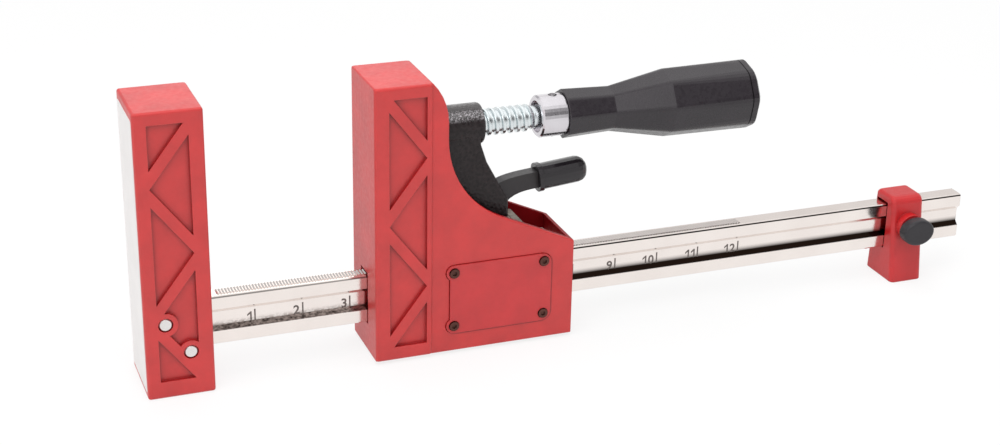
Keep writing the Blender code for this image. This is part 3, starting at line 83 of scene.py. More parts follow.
# Clamping screw
SCREW_HEIGHT = 0.1217
THREAD_PITCH = 0.004
THREAD_TOP = 0.00725
THREAD_ROOT = 0.0059
THREAD_START = 0.11525
THREAD_END = 0.19455
THREAD_RUN_OUT = 0.7 * THREAD_PITCH
THREAD_MIDDLE = 0.5
THREAD_SWING = 0.95
THREAD_STEPS = 16
THREAD_SIDES = 48
THREAD_WELD = 0.0000005
SHANK_RADIUS = 0.006
NOSE_RADIUS = 0.0043
NOSE_LENGTH = 0.0018
NOSE_CHAMFER = 0.0004
NECK_RADIUS = 0.0033

# Coil below the rail
WIRE_RADIUS = 0.0004
WIRE_SIDES = 10
SPRING_TURNS = 6
SPRING_STEPS = 24

# Painted shade line round the handle, where its domed end starts
HANDLE_SHADE_LOW = 0.3161
HANDLE_SHADE_HIGH = 0.3167
HANDLE_SHADE_SOFT = 0.00015
HANDLE_SHADE_GLOSS = 0.02

# Painted shadow in a line under and behind the side plate, and painted shade on the walls inside the jaw
# cover's open back
PLATE_CORNER = 0.0052
LINE_UNDER = 0.0002
LINE_WIDTH = 0.0010
LINE_SOFT = 0.00020
LINE_TURN = 0.3
LINE_DEPTH = 0.0010
LINE_DEPTH_END = 0.0012
LINE_SHARE = 0.8
WELL_HALF = 0.0188
WELL_START = 0.136
WELL_SOFT = 0.002
WELL_SHARE = 0.85
WELL_GLOSS = 0.05

# Label sheet, with places as y and z
LABEL_FACE = -0.01725
LABEL_THICKNESS = 0.00015
LABEL_LOW = (-0.0184, 0.0032)
LABEL_HIGH = (0.0182, 0.1486)
LABEL_CORNER = 0.0016
LABEL_CORNER_STEPS = 5

# Angles round the boss, in degrees, between which its paint is glossier, with painted glints in the front
# band
BOSS_FRONT_LOW = 32
BOSS_FRONT_HIGH = 58
BOSS_FRONT_SOFT = 8
BOSS_TOP_LOW = 48
BOSS_TOP_HIGH = 66

# What the materials share. A noise mostly keeps between its two bounds. An edge begins and is full at these
# cosines between its rounded and its plain normal. A hair is the width of a change that should look sharp.
NOISE_LOW = 0.3
NOISE_HIGH = 0.7
TONE_DARK = 0.88
TONE_LIGHT = 1.10
BEVEL_SAMPLES = 4
EDGE_BEGUN = 0.97
EDGE_FULL = 0.80
RUB_LEAST = 0.07
RUB_MOST = 0.35
RECESS_SHADE_SAMPLES = 8
METAL_EDGE = 0.0002
HAIR = 0.0002

# Degrees between two faces from which the edge between them is shaded sharp
SHARP_ANGLE = 38

# Sockets of a node that blends colours, several of which share a name
MIX_FACTOR = 0
MIX_FIRST = 6
MIX_SECOND = 7
MIX_COLOUR = 2

# Floor
FLOOR_REACH = 6.0
FLOOR_PLACE = (0.2, 0.5, -0.0001)
FLOOR_WHITE = 0.82

# World: its soft light, and what glossy surfaces see
WHITE = (1.0, 1.0, 1.0)
SOFT_WHITE = (1.0, 0.995, 0.99)
SOFT_STRENGTH = 0.62
PATCH_TOWARD = (-0.25, 0.87, 0.42)
PATCH_EDGE = 0.92
PATCH_CORE = 0.97
PATCH_COLOUR = (0.60, 0.60, 0.61)

# Low, high and soft edge in degrees from the front horizon up over the object, then left, right and soft edge
# as shares of X in the direction, then colour. Each region lies over the ones before it.
REGIONS = (
    (70, 140, 6, -0.9, 0.9, 0.1, (1.15, 1.15, 1.15)),
    (50, 145, 6, 0.24, 0.31, 0.02, (1.9, 1.9, 1.9)),
    (150, 176, 4, -0.02, 0.36, 0.05, (1.7, 1.7, 1.7)),
    (143, 176, 4, 0.36, 0.9, 0.04, (0.82, 0.805, 0.80)),
    (8, 50, 14, 0.318, 0.9, 0.03, (0.03, 0.025, 0.03)),
    (28, 60, 4, -0.45, 0.02, 0.04, (3.0, 3.0, 3.0)),
)

# Name, place, target, side and watts of each lamp
LAMPS = (
    ("key", (-0.35, -0.75, 1.75), (0.2, 0, 0.06), 1.3, 17),
    ("fill", (1.5, -0.6, 0.9), (0.25, 0, 0.06), 0.9, 2.2),
    ("left", (-1.2, -0.1, 0.7), (0.05, 0, 0.08), 0.8, 2.4),
    ("top", (0.2, 0.15, 1.7), (0.2, 0.05, 0.1), 1.0, 9),
)

# Camera, as fitted to the scale and to the edges in the photo
CAMERA_PLACE = (-0.14395, -0.8325, 0.4436)
CAMERA_YAW = 21.13
CAMERA_PITCH = -22.71
CAMERA_ROLL = 1.17
CAMERA_LENS = 65.214
CAMERA_SENSOR = 36
CAMERA_SHIFT_X = 0.0007
CAMERA_SHIFT_Y = -0.0112
CAMERA_NEAREST = 0.01


def linear(red, green, blue):
    """Screen colour, 0 to 255, as a linear colour."""
    shares = [value / 255 for value in (red, green, blue)]
    return tuple(s / 12.92 if s <= 0.04045 else ((s + 0.055) / 1.055) ** 2.4 for s in shares)


def feed(tree, value, socket):
    """Set an input to a number, a vector or a colour, or link another node's output to it."""
    if isinstance(value, bpy.types.NodeSocket):
        tree.links.new(value, socket)
    elif socket.type == "RGBA":
        socket.default_value = (*value, 1.0)
    else:
        socket.default_value = value


def add_node(tree, kind, inputs, **settings):
    """New node with its settings, and its inputs by name or by number."""
    made = tree.nodes.new(kind)
    for name, value in settings.items():
        setattr(made, name, value)
    for name, value in inputs.items():
        feed(tree, value, made.inputs[name])
    return made


def new_surface(name, roughness, metallic=0.0):
    made = bpy.data.materials.new(name)
    made.use_nodes = True
    shader = made.node_tree.nodes["Principled BSDF"]
    shader.inputs["Roughness"].default_value = roughness
    shader.inputs["Metallic"].default_value = metallic
    return made, made.node_tree, shader


def opened(made):
    """A finished material's nodes, its shader and the output that colours it, to lay more over it."""
    tree = made.node_tree
    shader = tree.nodes["Principled BSDF"]
    return tree, shader, shader.inputs["Base Color"].links[0].from_socket


def object_place(tree, stretch):
    """Place on the object, scaled along each axis, for the textures."""
    place = add_node(tree, "ShaderNodeTexCoord", {}).outputs["Object"]
    return add_node(tree, "ShaderNodeMapping", {"Vector": place, "Scale": stretch}).outputs["Vector"]


def noise(tree, scale, detail=3.0, roughness=0.5, stretch=(1, 1, 1)):
    inputs = {"Vector": object_place(tree, stretch), "Scale": scale, "Detail": detail, "Roughness": roughness}
    return add_node(tree, "ShaderNodeTexNoise", inputs).outputs["Fac"]


def cells(tree, scale):
    inputs = {"Vector": object_place(tree, (1, 1, 1)), "Scale": scale}
    return add_node(tree, "ShaderNodeTexVoronoi", inputs, feature="SMOOTH_F1").outputs["Distance"]


def spread(tree, value, low, high, to_low, to_high):
    """Map a value's range onto another one."""
    inputs = {"Value": value, "From Min": low, "From Max": high, "To Min": to_low, "To Max": to_high}
    return add_node(tree, "ShaderNodeMapRange", inputs).outputs["Result"]


def rise(tree, value, first, last):
    """0 at the first bound, 1 at the last, and level beyond them."""
    return spread(tree, value, first, last, 0.0, 1.0)


def fall(tree, value, first, last):
    """1 at the first bound, 0 at the last, and level beyond them."""
    return spread(tree, value, first, last, 1.0, 0.0)


def between(tree, factor, start, end):
    """From a start at 0 to an end at 1."""
    return spread(tree, factor, 0.0, 1.0, start, end)


def varied(tree, texture, least, most):
    """A noise's range as another range."""
    return spread(tree, texture, NOISE_LOW, NOISE_HIGH, least, most)


def combined(tree, operation, *values):
    """One value from several by the same operation."""
    total = values[0]
    for value in values[1:]:
        total = add_node(tree, "ShaderNodeMath", {0: total, 1: value}, operation=operation).outputs[0]
    return total


def absolute(tree, value):
    return add_node(tree, "ShaderNodeMath", {0: value}, operation="ABSOLUTE").outputs[0]


def band(tree, value, low, high, soft):
    """1 between two values, with soft ends."""
    start = rise(tree, value, low - soft, low + soft)
    end = fall(tree, value, high - soft, high + soft)
    return combined(tree, "MULTIPLY", start, end)


def mixed(tree, factor, first, second):
    """Blend two colours, either of which may be another node's output."""
    inputs = {MIX_FACTOR: factor, MIX_FIRST: first, MIX_SECOND: second}
    return add_node(tree, "ShaderNodeMix", inputs, data_type="RGBA").outputs[MIX_COLOUR]


def toned(tree, texture, first, second, low=NOISE_LOW, high=NOISE_HIGH):
    """Colour that wanders from one to another as a texture goes from low to high."""
    return mixed(tree, rise(tree, texture, low, high), first, second)


def bumped(tree, height, strength, distance, normal=None):
    made = add_node(tree, "ShaderNodeBump", {"Height": height, "Strength": strength, "Distance": distance})
    if normal is not None:
        tree.links.new(normal, made.inputs["Normal"])
    return made.outputs["Normal"]


def rounded(tree, radius):
    """Normal that rounds the edges."""
    return add_node(tree, "ShaderNodeBevel", {"Radius": radius}, samples=BEVEL_SAMPLES).outputs["Normal"]


def dot_product(tree, first, second):
    made = add_node(tree, "ShaderNodeVectorMath", {0: first, 1: second}, operation="DOT_PRODUCT")
    return made.outputs["Value"]


def edge_factor(tree, normal):
    """1 on the edges, where the rounded normal leaves the plain one."""
    plain = add_node(tree, "ShaderNodeNewGeometry", {}).outputs["Normal"]
    return rise(tree, dot_product(tree, normal, plain), EDGE_BEGUN, EDGE_FULL)


def recess(tree, reach, shade, closed=0.35, open_share=0.95):
    """Factor of painted shade, which falls from 1 to a shade where the piece's own walls stand close."""
    made = add_node(tree, "ShaderNodeAmbientOcclusion", {"Distance": reach}, samples=RECESS_SHADE_SAMPLES,
                    only_local=True)
    return spread(tree, made.outputs["AO"], closed, open_share, shade, 1.0)


def coordinates(tree, node):
    """Coordinates of the part's frame on a node at rest, as three values."""
    place = add_node(tree, "ShaderNodeTexCoord", {}).outputs["Object"]
    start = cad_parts[node].matrix_world.translation
    moved = add_node(tree, "ShaderNodeVectorMath", {0: place, 1: start}, operation="ADD").outputs["Vector"]
    parts = add_node(tree, "ShaderNodeSeparateXYZ", {"Vector": moved})
    return [parts.outputs[axis] for axis in "XYZ"]


def plate_line(tree):
    """1 in a thin line under and behind the side plate, where its painted shadow falls on the cover."""
    low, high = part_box("side_plate")
    x, y, z = coordinates(tree, "jaw_cover")
    over = []
    aside = []
    for value, axis in ((x, 0), (z, 2)):
        reach = (high[axis] - low[axis]) / 2
        offset = combined(tree, "SUBTRACT", value, (low[axis] + high[axis]) / 2)
        aside.append(combined(tree, "DIVIDE", offset, reach))
        beyond = combined(tree, "SUBTRACT", absolute(tree, offset), reach - PLATE_CORNER)
        over.append(combined(tree, "POWER", combined(tree, "MAXIMUM", beyond, 0.0), 2.0))
    distance = combined(tree, "POWER", combined(tree, "ADD", *over), 0.5)
    line = band(tree, distance, PLATE_CORNER - LINE_UNDER, PLATE_CORNER + LINE_WIDTH, LINE_SOFT)
    behind = rise(tree, combined(tree, "SUBTRACT", *aside), 0.0, LINE_TURN)
    front = fall(tree, y, low[1] + LINE_DEPTH, low[1] + LINE_DEPTH_END)
    return combined(tree, "MULTIPLY", line, behind, front, LINE_SHARE)


def well_shade(tree):
    """1 on the inner walls of the jaw cover's open back, where painted shade stands for the little light they
    get.
    """
    x, y, _ = coordinates(tree, "jaw_cover")
    inner = fall(tree, absolute(tree, y), WELL_HALF, WELL_HALF + HAIR)
    return combined(tree, "MULTIPLY", inner, rise(tree, x, WELL_START, WELL_START + WELL_SOFT))


def moulded(name, colour, worn, roughness, grain, depth, edge, gloss=0.5, deep_shade=(0.35, 0.35, 0.35)):
    """Moulded plastic: fine grain, slow shifts of tone, edges rubbed lighter, painted shade in recesses."""
    made, tree, shader = new_surface(name, roughness)
    shader.inputs["Specular IOR Level"].default_value = gloss
    normal = rounded(tree, edge)
    deep = tuple(c * TONE_DARK for c in colour)
    light = tuple(min(1.0, c * TONE_LIGHT) for c in colour)
    body = toned(tree, noise(tree, scale=55, detail=4, roughness=0.6), deep, light)
    wear = spread(tree, noise(tree, scale=260), 0.35, 0.7, RUB_LEAST, RUB_MOST)
    rubbed = mixed(tree, combined(tree, "MULTIPLY", edge_factor(tree, normal), wear), body, worn)
    shade_colour = tuple(c * share for c, share in zip(colour, deep_shade))
    # Painted shade: darker where the piece's own walls stand close, in small pockets and in wide hollows
    shaded = mixed(tree, recess(tree, reach=0.004, shade=0.55), shade_colour, rubbed)
    shaded = mixed(tree, recess(tree, reach=0.03, shade=0.12, closed=0.50, open_share=0.78), shade_colour, shaded)
    tree.links.new(shaded, shader.inputs["Base Color"])
    sheen = varied(tree, noise(tree, scale=420), roughness - 0.05, roughness + 0.06)
    tree.links.new(sheen, shader.inputs["Roughness"])
    grains = noise(tree, grain, detail=2, roughness=0.6)
    tree.links.new(bumped(tree, grains, strength=0.5, distance=depth, normal=normal), shader.inputs["Normal"])
    return made


def red_moulded(name, colour, roughness=0.40, grain=1900, depth=0.00004, edge=0.0005, gloss=0.7):
    """Red moulded plastic, which keeps its red in its painted shade."""
    worn = linear(228, 120, 112)
    return moulded(name, colour, worn, roughness, grain, depth, edge, gloss, deep_shade=(0.60, 0.22, 0.30))


def shaded_housing(made):
    """Darken the jaw cover's material with a painted shadow beside the side plate and painted shade inside
    the open back.
    """
    plate_shadow_red = linear(142, 6, 16)
    well_shade_red = linear(132, 8, 18)
    tree, shader, plain = opened(made)
    # Painted shadow of the side plate on the cover
    lined = mixed(tree, plate_line(tree), plain, plate_shadow_red)
    # Painted shade on the walls inside the open back, which also loses its gloss there
    well = well_shade(tree)
    shaded = mixed(tree, combined(tree, "MULTIPLY", well, WELL_SHARE), lined, well_shade_red)
    tree.links.new(shaded, shader.inputs["Base Color"])
    gloss = shader.inputs["Specular IOR Level"]
    tree.links.new(between(tree, well, gloss.default_value, WELL_GLOSS), gloss)
    return made


def end_seam(made):
    """Draw a dark line of painted shade round the handle, where its domed end starts."""
    tree, shader, plain = opened(made)
    x = coordinates(tree, "handle")[0]
    line = band(tree, x, HANDLE_SHADE_LOW, HANDLE_SHADE_HIGH, HANDLE_SHADE_SOFT)
    tree.links.new(mixed(tree, line, plain, linear(8, 6, 8)), shader.inputs["Base Color"])
    gloss = shader.inputs["Specular IOR Level"]
    tree.links.new(between(tree, line, gloss.default_value, HANDLE_SHADE_GLOSS), gloss)
    return made


def bright_metal(name, colour, dull, roughness, streaks, depth, stretch=(1, 1, 1)):
    """Polished or plated metal, with fine streaks, long where the texture is stretched."""
    made, tree, shader = new_surface(name, roughness, metallic=1.0)
    clouds = spread(tree, noise(tree, scale=45), 0.35, 0.75, 0.0, 0.6)
    tree.links.new(mixed(tree, clouds, colour, dull), shader.inputs["Base Color"])
    lines = noise(tree, streaks, detail=4, roughness=0.6, stretch=stretch)
    sheen = varied(tree, lines, roughness * 0.7, roughness * 1.4)
    tree.links.new(sheen, shader.inputs["Roughness"])
    streaked = bumped(tree, lines, strength=0.35, distance=depth, normal=rounded(tree, METAL_EDGE))
    tree.links.new(streaked, shader.inputs["Normal"])
    return made


def rail_plate(name, colour, dull):
    """Nickel plate of the rail, with a painted dark reflection in its groove and along its top chamfers."""
    near_groove_dark = linear(34, 26, 23)
    near_groove_light = linear(138, 124, 118)
    far_reflection_dark = linear(32, 22, 17)
    near_chamfer_reflection = linear(140, 134, 130)
    far_chamfer_reflection = linear(44, 36, 33)
    made = bright_metal(name, colour, dull, roughness=0.13, streaks=12, depth=0.00004, stretch=(3, 160, 160))
    tree, shader, plain = opened(made)
    x, y, z = coordinates(tree, "rail")
    normal = add_node(tree, "ShaderNodeNewGeometry", {}).outputs["Normal"]
    facing = add_node(tree, "ShaderNodeSeparateXYZ", {"Vector": normal})
    side = fall(tree, absolute(tree, facing.outputs["X"]), 0.4, 0.6)
    along = rise(tree, x, NEAR_END, FAR_END)

    # Painted dark reflection in the groove, fading upward, speckled and lighter at the near end
    speckle = noise(tree, scale=800, roughness=0.7, stretch=(0.6, 1, 1))
    near_groove = toned(tree, speckle, near_groove_dark, near_groove_light, low=0.35, high=0.62)
    groove_reflection = mixed(tree, along, near_groove, far_reflection_dark)
    fade = fall(tree, z, GROOVE_HIGH, GROOVE_FADE)
    near_fade = combined(tree, "MULTIPLY", fade, fade, spread(tree, speckle, 0.40, 0.56, 0.25, 1.0))
    far_fade = combined(tree, "MULTIPLY", combined(tree, "POWER", fade, 1.5), along)
    inside = fall(tree, z, GROOVE_HIGH, GROOVE_HIGH + GROOVE_SOFT)
    above = rise(tree, z, GROOVE_LOW, GROOVE_LOW + HAIR)
    reach = combined(tree, "MAXIMUM", near_fade, far_fade, inside)
    groove_painted = mixed(tree, combined(tree, "MULTIPLY", reach, above, side), plain, groove_reflection)

    # Painted dark reflection along the top chamfers, lighter at the near end
    outer = rise(tree, absolute(tree, y), CHAMFER_INNER, CHAMFER_INNER + HAIR)
    edge = combined(tree, "MULTIPLY", band(tree, z, CHAMFER_LOW, CHAMFER_HIGH, HAIR / 2), outer, side)
    line = mixed(tree, along, near_chamfer_reflection, far_chamfer_reflection)
    tree.links.new(mixed(tree, edge, groove_painted, line), shader.inputs["Base Color"])
    return made


def wrinkle_paint(name):
    """Black paint on a rough casting: pits and wrinkles of one or two millimetres, shinier round the boss,
    with painted glints on the boss's front.
    """
    dark_paint = linear(20, 15, 16)
    light_paint = linear(42, 35, 36)
    glint_colour = linear(176, 171, 176)
    made, tree, shader = new_surface(name, roughness=0.24)
    fine = combined(tree, "MULTIPLY", noise(tree, scale=1500, roughness=0.65), 0.45)
    height = combined(tree, "ADD", fine, cells(tree, scale=620))
    _, y, z = coordinates(tree, "sliding_arm")
    turn = combined(tree, "ARCTAN2", combined(tree, "SUBTRACT", z, SCREW_HEIGHT), absolute(tree, y))
    front = band(tree, turn, *(math.radians(a) for a in (BOSS_FRONT_LOW, BOSS_FRONT_HIGH, BOSS_FRONT_SOFT)))
    top = spread(tree, turn, math.radians(BOSS_TOP_LOW), math.radians(BOSS_TOP_HIGH), 0.0, 0.6)

    paint = toned(tree, height, dark_paint, light_paint, low=0.2, high=0.9)
    # Painted glints: light spots in a band on the front of the boss
    glint_spots = spread(tree, noise(tree, scale=1100, detail=2, roughness=0.7), 0.50, 0.62, 0.0, 0.85)
    glinted = mixed(tree, combined(tree, "MULTIPLY", front, glint_spots), paint, glint_colour)
    tree.links.new(glinted, shader.inputs["Base Color"])
    gloss = between(tree, combined(tree, "MAXIMUM", front, top), start=0.25, end=1.3)
    tree.links.new(gloss, shader.inputs["Specular IOR Level"])
    tree.links.new(varied(tree, noise(tree, scale=300), least=0.16, most=0.30), shader.inputs["Roughness"])
    tree.links.new(bumped(tree, height, strength=0.7, distance=0.00034), shader.inputs["Normal"])
    return made


def label_vinyl():
    made, tree, shader = new_surface("label_vinyl", roughness=0.45)
    tone = toned(tree, noise(tree, scale=70), linear(226, 223, 222), linear(231, 228, 227))
    tree.links.new(tone, shader.inputs["Base Color"])
    waves = bumped(tree, noise(tree, scale=120, detail=2), strength=0.15, distance=0.00005)
    tree.links.new(waves, shader.inputs["Normal"])
    return made


def etched_mark():
    """Etched marks: dark, broken up by a fine grain."""
    made, tree, shader = new_surface("etched_mark", roughness=0.7)
    grain = noise(tree, scale=2600, roughness=0.7)
    tone = toned(tree, grain, linear(70, 63, 61), linear(132, 123, 119), low=0.35, high=0.65)
    tree.links.new(tone, shader.inputs["Base Color"])
    return made


def white_nylon():
    made, tree, shader = new_surface("white_nylon", roughness=0.45)
    shader.inputs["Subsurface Weight"].default_value = 0.2
    shader.inputs["Subsurface Radius"].default_value = (0.002, 0.0017, 0.0014)
    tone = toned(tree, noise(tree, scale=90), linear(214, 208, 196), linear(228, 223, 212))
    tree.links.new(tone, shader.inputs["Base Color"])
    grain = bumped(tree, noise(tree, scale=900, detail=2), strength=0.4, distance=0.00006)
    tree.links.new(grain, shader.inputs["Normal"])
    return made


def mesh_piece(name, shape, surface, smooth=True):
    """Object from a finished shape, in the scene and with its material."""
    bmesh.ops.recalc_face_normals(shape, faces=shape.faces)
    mesh = bpy.data.meshes.new(name)
    shape.to_mesh(mesh)
    shape.free()
    if smooth:
        mesh.shade_smooth()
        mesh.set_sharp_from_angle(angle=math.radians(SHARP_ANGLE))
    mesh.materials.append(surface)
    made = bpy.data.objects.new(name, mesh)
    bpy.context.scene.collection.objects.link(made)
    return made


def ring_angles(count):
    return [2 * math.pi * side / count for side in range(count)]


def ring(shape, x, radius):
    """Ring about the screw's axis."""
    return [shape.verts.new((x, radius * math.cos(a), SCREW_HEIGHT + radius * math.sin(a)))
            for a in ring_angles(THREAD_SIDES)]


def bridge(shape, first, second):
    """Faces between two rings that have as many points as each other."""
    for side in range(len(first)):
        after = (side + 1) % len(first)
        shape.faces.new((first[side], first[after], second[after], second[side]))


def pushed_outline(shape, corners, push):
    """Flat outline, given thickness along a vector."""
    first = [shape.verts.new(corner) for corner in corners]
    second = [shape.verts.new(Vector(corner) + Vector(push)) for corner in corners]
    shape.faces.new(first)
    shape.faces.new(second)
    bridge(shape, first, second)


def thread_radius(step, x):
    """Radius of the thread at a step of its profile, run out at both ends."""
    wave = THREAD_MIDDLE + THREAD_SWING * math.cos(2 * math.pi * step / THREAD_STEPS)
    share = min(1.0, max(0.0, wave))
    share = share * share * (3 - 2 * share)
    from_start = max(0.0, (x - THREAD_START) / THREAD_RUN_OUT)
    from_end = max(0.0, (THREAD_END - x) / THREAD_RUN_OUT)
    return THREAD_ROOT + (THREAD_TOP - THREAD_ROOT) * share * min(1.0, from_start, from_end)


def thread_into(shape):
    """Right-hand thread, as a grid that winds about the screw's axis."""
    pitches = math.ceil((THREAD_END - THREAD_START) / THREAD_PITCH)
    steps = range(-THREAD_STEPS, (pitches + 1) * THREAD_STEPS)
    grid = {}
    for step in steps:
        for side, angle in enumerate(ring_angles(THREAD_SIDES)):
            x = THREAD_START + THREAD_PITCH * (step / THREAD_STEPS + side / THREAD_SIDES)
            x = min(THREAD_END, max(THREAD_START, x))
            radius = thread_radius(step, x)
            place = (x, radius * math.cos(angle), SCREW_HEIGHT + radius * math.sin(angle))
            grid[step, side] = shape.verts.new(place)
    for step in steps:
        for side in range(THREAD_SIDES):
            wrap = side == THREAD_SIDES - 1
            near = (step + THREAD_STEPS, 0) if wrap else (step, side + 1)
            far = (near[0] + 1, near[1])
            if far in grid and (step + 1, side) in grid:
                shape.faces.new((grid[step, side], grid[near], grid[far], grid[step + 1, side]))


def clamping_screw(surface):
    """Screw with a real right-hand thread, in the place of the plain cylinder."""
    low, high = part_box("spindle")
    shape = bmesh.new()
    neck_start = low[0] + NOSE_LENGTH
    lead = [ring(shape, low[0], NOSE_RADIUS - NOSE_CHAMFER), ring(shape, low[0] + NOSE_CHAMFER, NOSE_RADIUS),
            ring(shape, neck_start, NOSE_RADIUS), ring(shape, neck_start, NECK_RADIUS),
            ring(shape, THREAD_START, NECK_RADIUS), ring(shape, THREAD_START, THREAD_ROOT)]
    tail = [ring(shape, THREAD_END, THREAD_ROOT), ring(shape, THREAD_END, SHANK_RADIUS),
            ring(shape, high[0], SHANK_RADIUS)]
    for chain in (lead, tail):
        for first, second in zip(chain, chain[1:]):
            bridge(shape, first, second)
    shape.faces.new(lead[0])
    shape.faces.new(tail[-1])
    thread_into(shape)
    bmesh.ops.remove_doubles(shape, verts=shape.verts, dist=THREAD_WELD)
    bmesh.ops.dissolve_degenerate(shape, edges=shape.edges, dist=THREAD_WELD)
    piece = mesh_piece("clamping_screw", shape, surface)
    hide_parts("spindle")
    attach(piece, "spindle")


def coil_spring(surface):
    """Coil below the rail, attached to the carriage."""
    low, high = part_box("clutch_spring")
    height = (low[2] + high[2]) / 2
    radius = (high[1] - low[1]) / 2 - WIRE_RADIUS
    start = low[0] + WIRE_RADIUS
    length = high[0] - low[0] - 2 * WIRE_RADIUS
    count = SPRING_TURNS * SPRING_STEPS
    shape = bmesh.new()
    rings = []
    for step in range(count + 1):
        turn = 2 * math.pi * step / SPRING_STEPS
        outward = Vector((0, math.cos(turn), math.sin(turn)))
        middle = Vector((start + length * step / count, 0, height)) + radius * outward
        climb = length / (2 * math.pi * SPRING_TURNS)
        along = Vector((climb, -radius * math.sin(turn), radius * math.cos(turn)))
        across = along.normalized().cross(outward)
        around = [math.cos(a) * outward + math.sin(a) * across for a in ring_angles(WIRE_SIDES)]
        rings.append([shape.verts.new(middle + WIRE_RADIUS * offset) for offset in around])
    for first, second in zip(rings, rings[1:]):
        bridge(shape, first, second)
    shape.faces.new(rings[0])
    shape.faces.new(rings[-1])
    piece = mesh_piece("coil_spring", shape, surface)
    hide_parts("clutch_spring")
    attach(piece, "carriage")
    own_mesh(piece)


def box_into(shape, low, high):
    middle = [(a + b) / 2 for a, b in zip(low, high)]
    size = [b - a for a, b in zip(low, high)]
    matrix = Matrix.Translation(middle) @ Matrix.Diagonal((*size, 1.0))
    bmesh.ops.create_cube(shape, size=1.0, matrix=matrix)


def one_mesh():
    """Mesh of the digit 1, whose strokes are straight."""
    shape = bmesh.new()
    corners = [(x * DIGIT_HEIGHT, -MARK_PROUD / 2, z * DIGIT_HEIGHT) for x, z in ONE_OUTLINE]
    pushed_outline(shape, corners, (0, MARK_PROUD, 0))
    mesh = bpy.data.meshes.new("digit_1")
    shape.to_mesh(mesh)
    shape.free()
    return mesh


def digit_mesh(digit):
    """Mesh of one digit, standing on z 0 in the plane of x and z."""
    if digit == "1":
        return one_mesh()
    curve = bpy.data.curves.new(f"digit_{digit}", "FONT")
    curve.body = digit
    curve.size = DIGIT_SIZE
    curve.extrude = MARK_PROUD / 2
    curve.offset = DIGIT_BOLD
    curve.resolution_u = DIGIT_STEPS
    text = bpy.data.objects.new(f"digit_{digit}", curve)
    bpy.context.scene.collection.objects.link(text)
    mesh = bpy.data.meshes.new_from_object(text.evaluated_get(bpy.context.evaluated_depsgraph_get()))
    bpy.data.objects.remove(text)
    mesh.transform(Matrix.Rotation(math.pi / 2, 4, "X"))
    return mesh


def rail_scale(surface):
    """Inch marks and their numbers, dark on the front of the rail's web."""
    shape = bmesh.new()
    front = WEB_FRONT - MARK_PROUD
    for number in range(1, INCH_MARKS + 1):
        x = SCALE_START + INCH * number
        box_into(shape, (x - MARK_WIDTH / 2, front, MARK_LOW), (x + MARK_WIDTH / 2, WEB_FRONT, MARK_HIGH))
        edge = x - DIGIT_GAP
        for digit in reversed(str(number)):
            mesh = digit_mesh(digit)
            left = min(v.co.x for v in mesh.vertices)
            right = max(v.co.x for v in mesh.vertices)
            mesh.transform(Matrix.Translation((edge - right, WEB_FRONT - MARK_PROUD / 2, DIGIT_LOW)))
            shape.from_mesh(mesh)
            bpy.data.meshes.remove(mesh)
            edge -= right - left + DIGIT_SPACE
    bmesh.ops.remove_doubles(shape, verts=shape.verts, dist=DIGIT_WELD)
    piece = mesh_piece("rail_scale", shape, surface, smooth=False)
    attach(piece, "base")


def label_sheet(surface):
    """Bare sheet on the fixed jaw's outer face, with rounded corners."""
    (low_y, low_z), (high_y, high_z) = LABEL_LOW, LABEL_HIGH
    left = low_y + LABEL_CORNER
    right = high_y - LABEL_CORNER
    bottom = low_z + LABEL_CORNER
    top = high_z - LABEL_CORNER
    outline = []
    for y, z, start in ((right, top, 0), (left, top, 90), (left, bottom, 180), (right, bottom, 270)):
        for step in range(LABEL_CORNER_STEPS + 1):
            angle = math.radians(start + 90 * step / LABEL_CORNER_STEPS)
            aside = LABEL_CORNER * math.cos(angle)
            above = LABEL_CORNER * math.sin(angle)
            outline.append((LABEL_FACE, y + aside, z + above))
    shape = bmesh.new()
    pushed_outline(shape, outline, (-LABEL_THICKNESS, 0, 0))
    piece = mesh_piece("label_sheet", shape, surface, smooth=False)
    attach(piece, "base")


def dress(surface, *names):
    """Give nodes of the frame a material."""
    for name in names:
        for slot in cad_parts[name].material_slots:
            slot.material = surface


def blended(tree, factor, first, second):
    """Blend two shaders."""
    return add_node(tree, "ShaderNodeMixShader", {0: factor, 1: first, 2: second}).outputs["Shader"]


def floor():
    """Pale floor, nearly white where it is seen, which keeps a share of the object's shadow."""
    shape = bmesh.new()
    bmesh.ops.create_grid(shape, x_segments=1, y_segments=1, size=FLOOR_REACH)
    made, tree, shader = new_surface("pale_floor", roughness=0.9)
    shader.inputs["Specular IOR Level"].default_value = 0.0
    tone = mixed(tree, noise(tree, scale=3, detail=2), linear(238, 238, 238), linear(241, 241, 241))
    tree.links.new(tone, shader.inputs["Base Color"])
    ray = add_node(tree, "ShaderNodeLightPath", {}).outputs
    seen = combined(tree, "MAXIMUM", ray["Is Camera Ray"], ray["Is Glossy Ray"], ray["Is Transmission Ray"])
    share = between(tree, seen, 0.0, FLOOR_WHITE)
    white = add_node(tree, "ShaderNodeEmission", {"Color": WHITE, "Strength": 1.0}).outputs["Emission"]
    surface = blended(tree, share, shader.outputs["BSDF"], white)
    tree.links.new(surface, tree.nodes["Material Output"].inputs["Surface"])
    piece = mesh_piece("floor", shape, made, smooth=False)
    piece.location = FLOOR_PLACE


def reflected(tree):
    """What glossy surfaces see: white, with lighter and darker regions and a grey patch at the back left."""
    direction = add_node(tree, "ShaderNodeTexCoord", {}).outputs["Generated"]
    parts = add_node(tree, "ShaderNodeSeparateXYZ", {"Vector": direction}).outputs
    height = combined(tree, "ARCTAN2", parts["Z"], combined(tree, "MULTIPLY", parts["Y"], -1.0))
    seen = WHITE
    for low, high, soft, left, right, edge, colour in REGIONS:
        tall = band(tree, height, math.radians(low), math.radians(high), math.radians(soft))
        wide = band(tree, parts["X"], left, right, edge)
        seen = mixed(tree, combined(tree, "MULTIPLY", tall, wide), seen, colour)
    toward = dot_product(tree, direction, Vector(PATCH_TOWARD).normalized())
    return mixed(tree, rise(tree, toward, PATCH_EDGE, PATCH_CORE), seen, PATCH_COLOUR)


def background(tree, colour, strength):
    made = add_node(tree, "ShaderNodeBackground", {"Color": colour, "Strength": strength})
    return made.outputs["Background"]


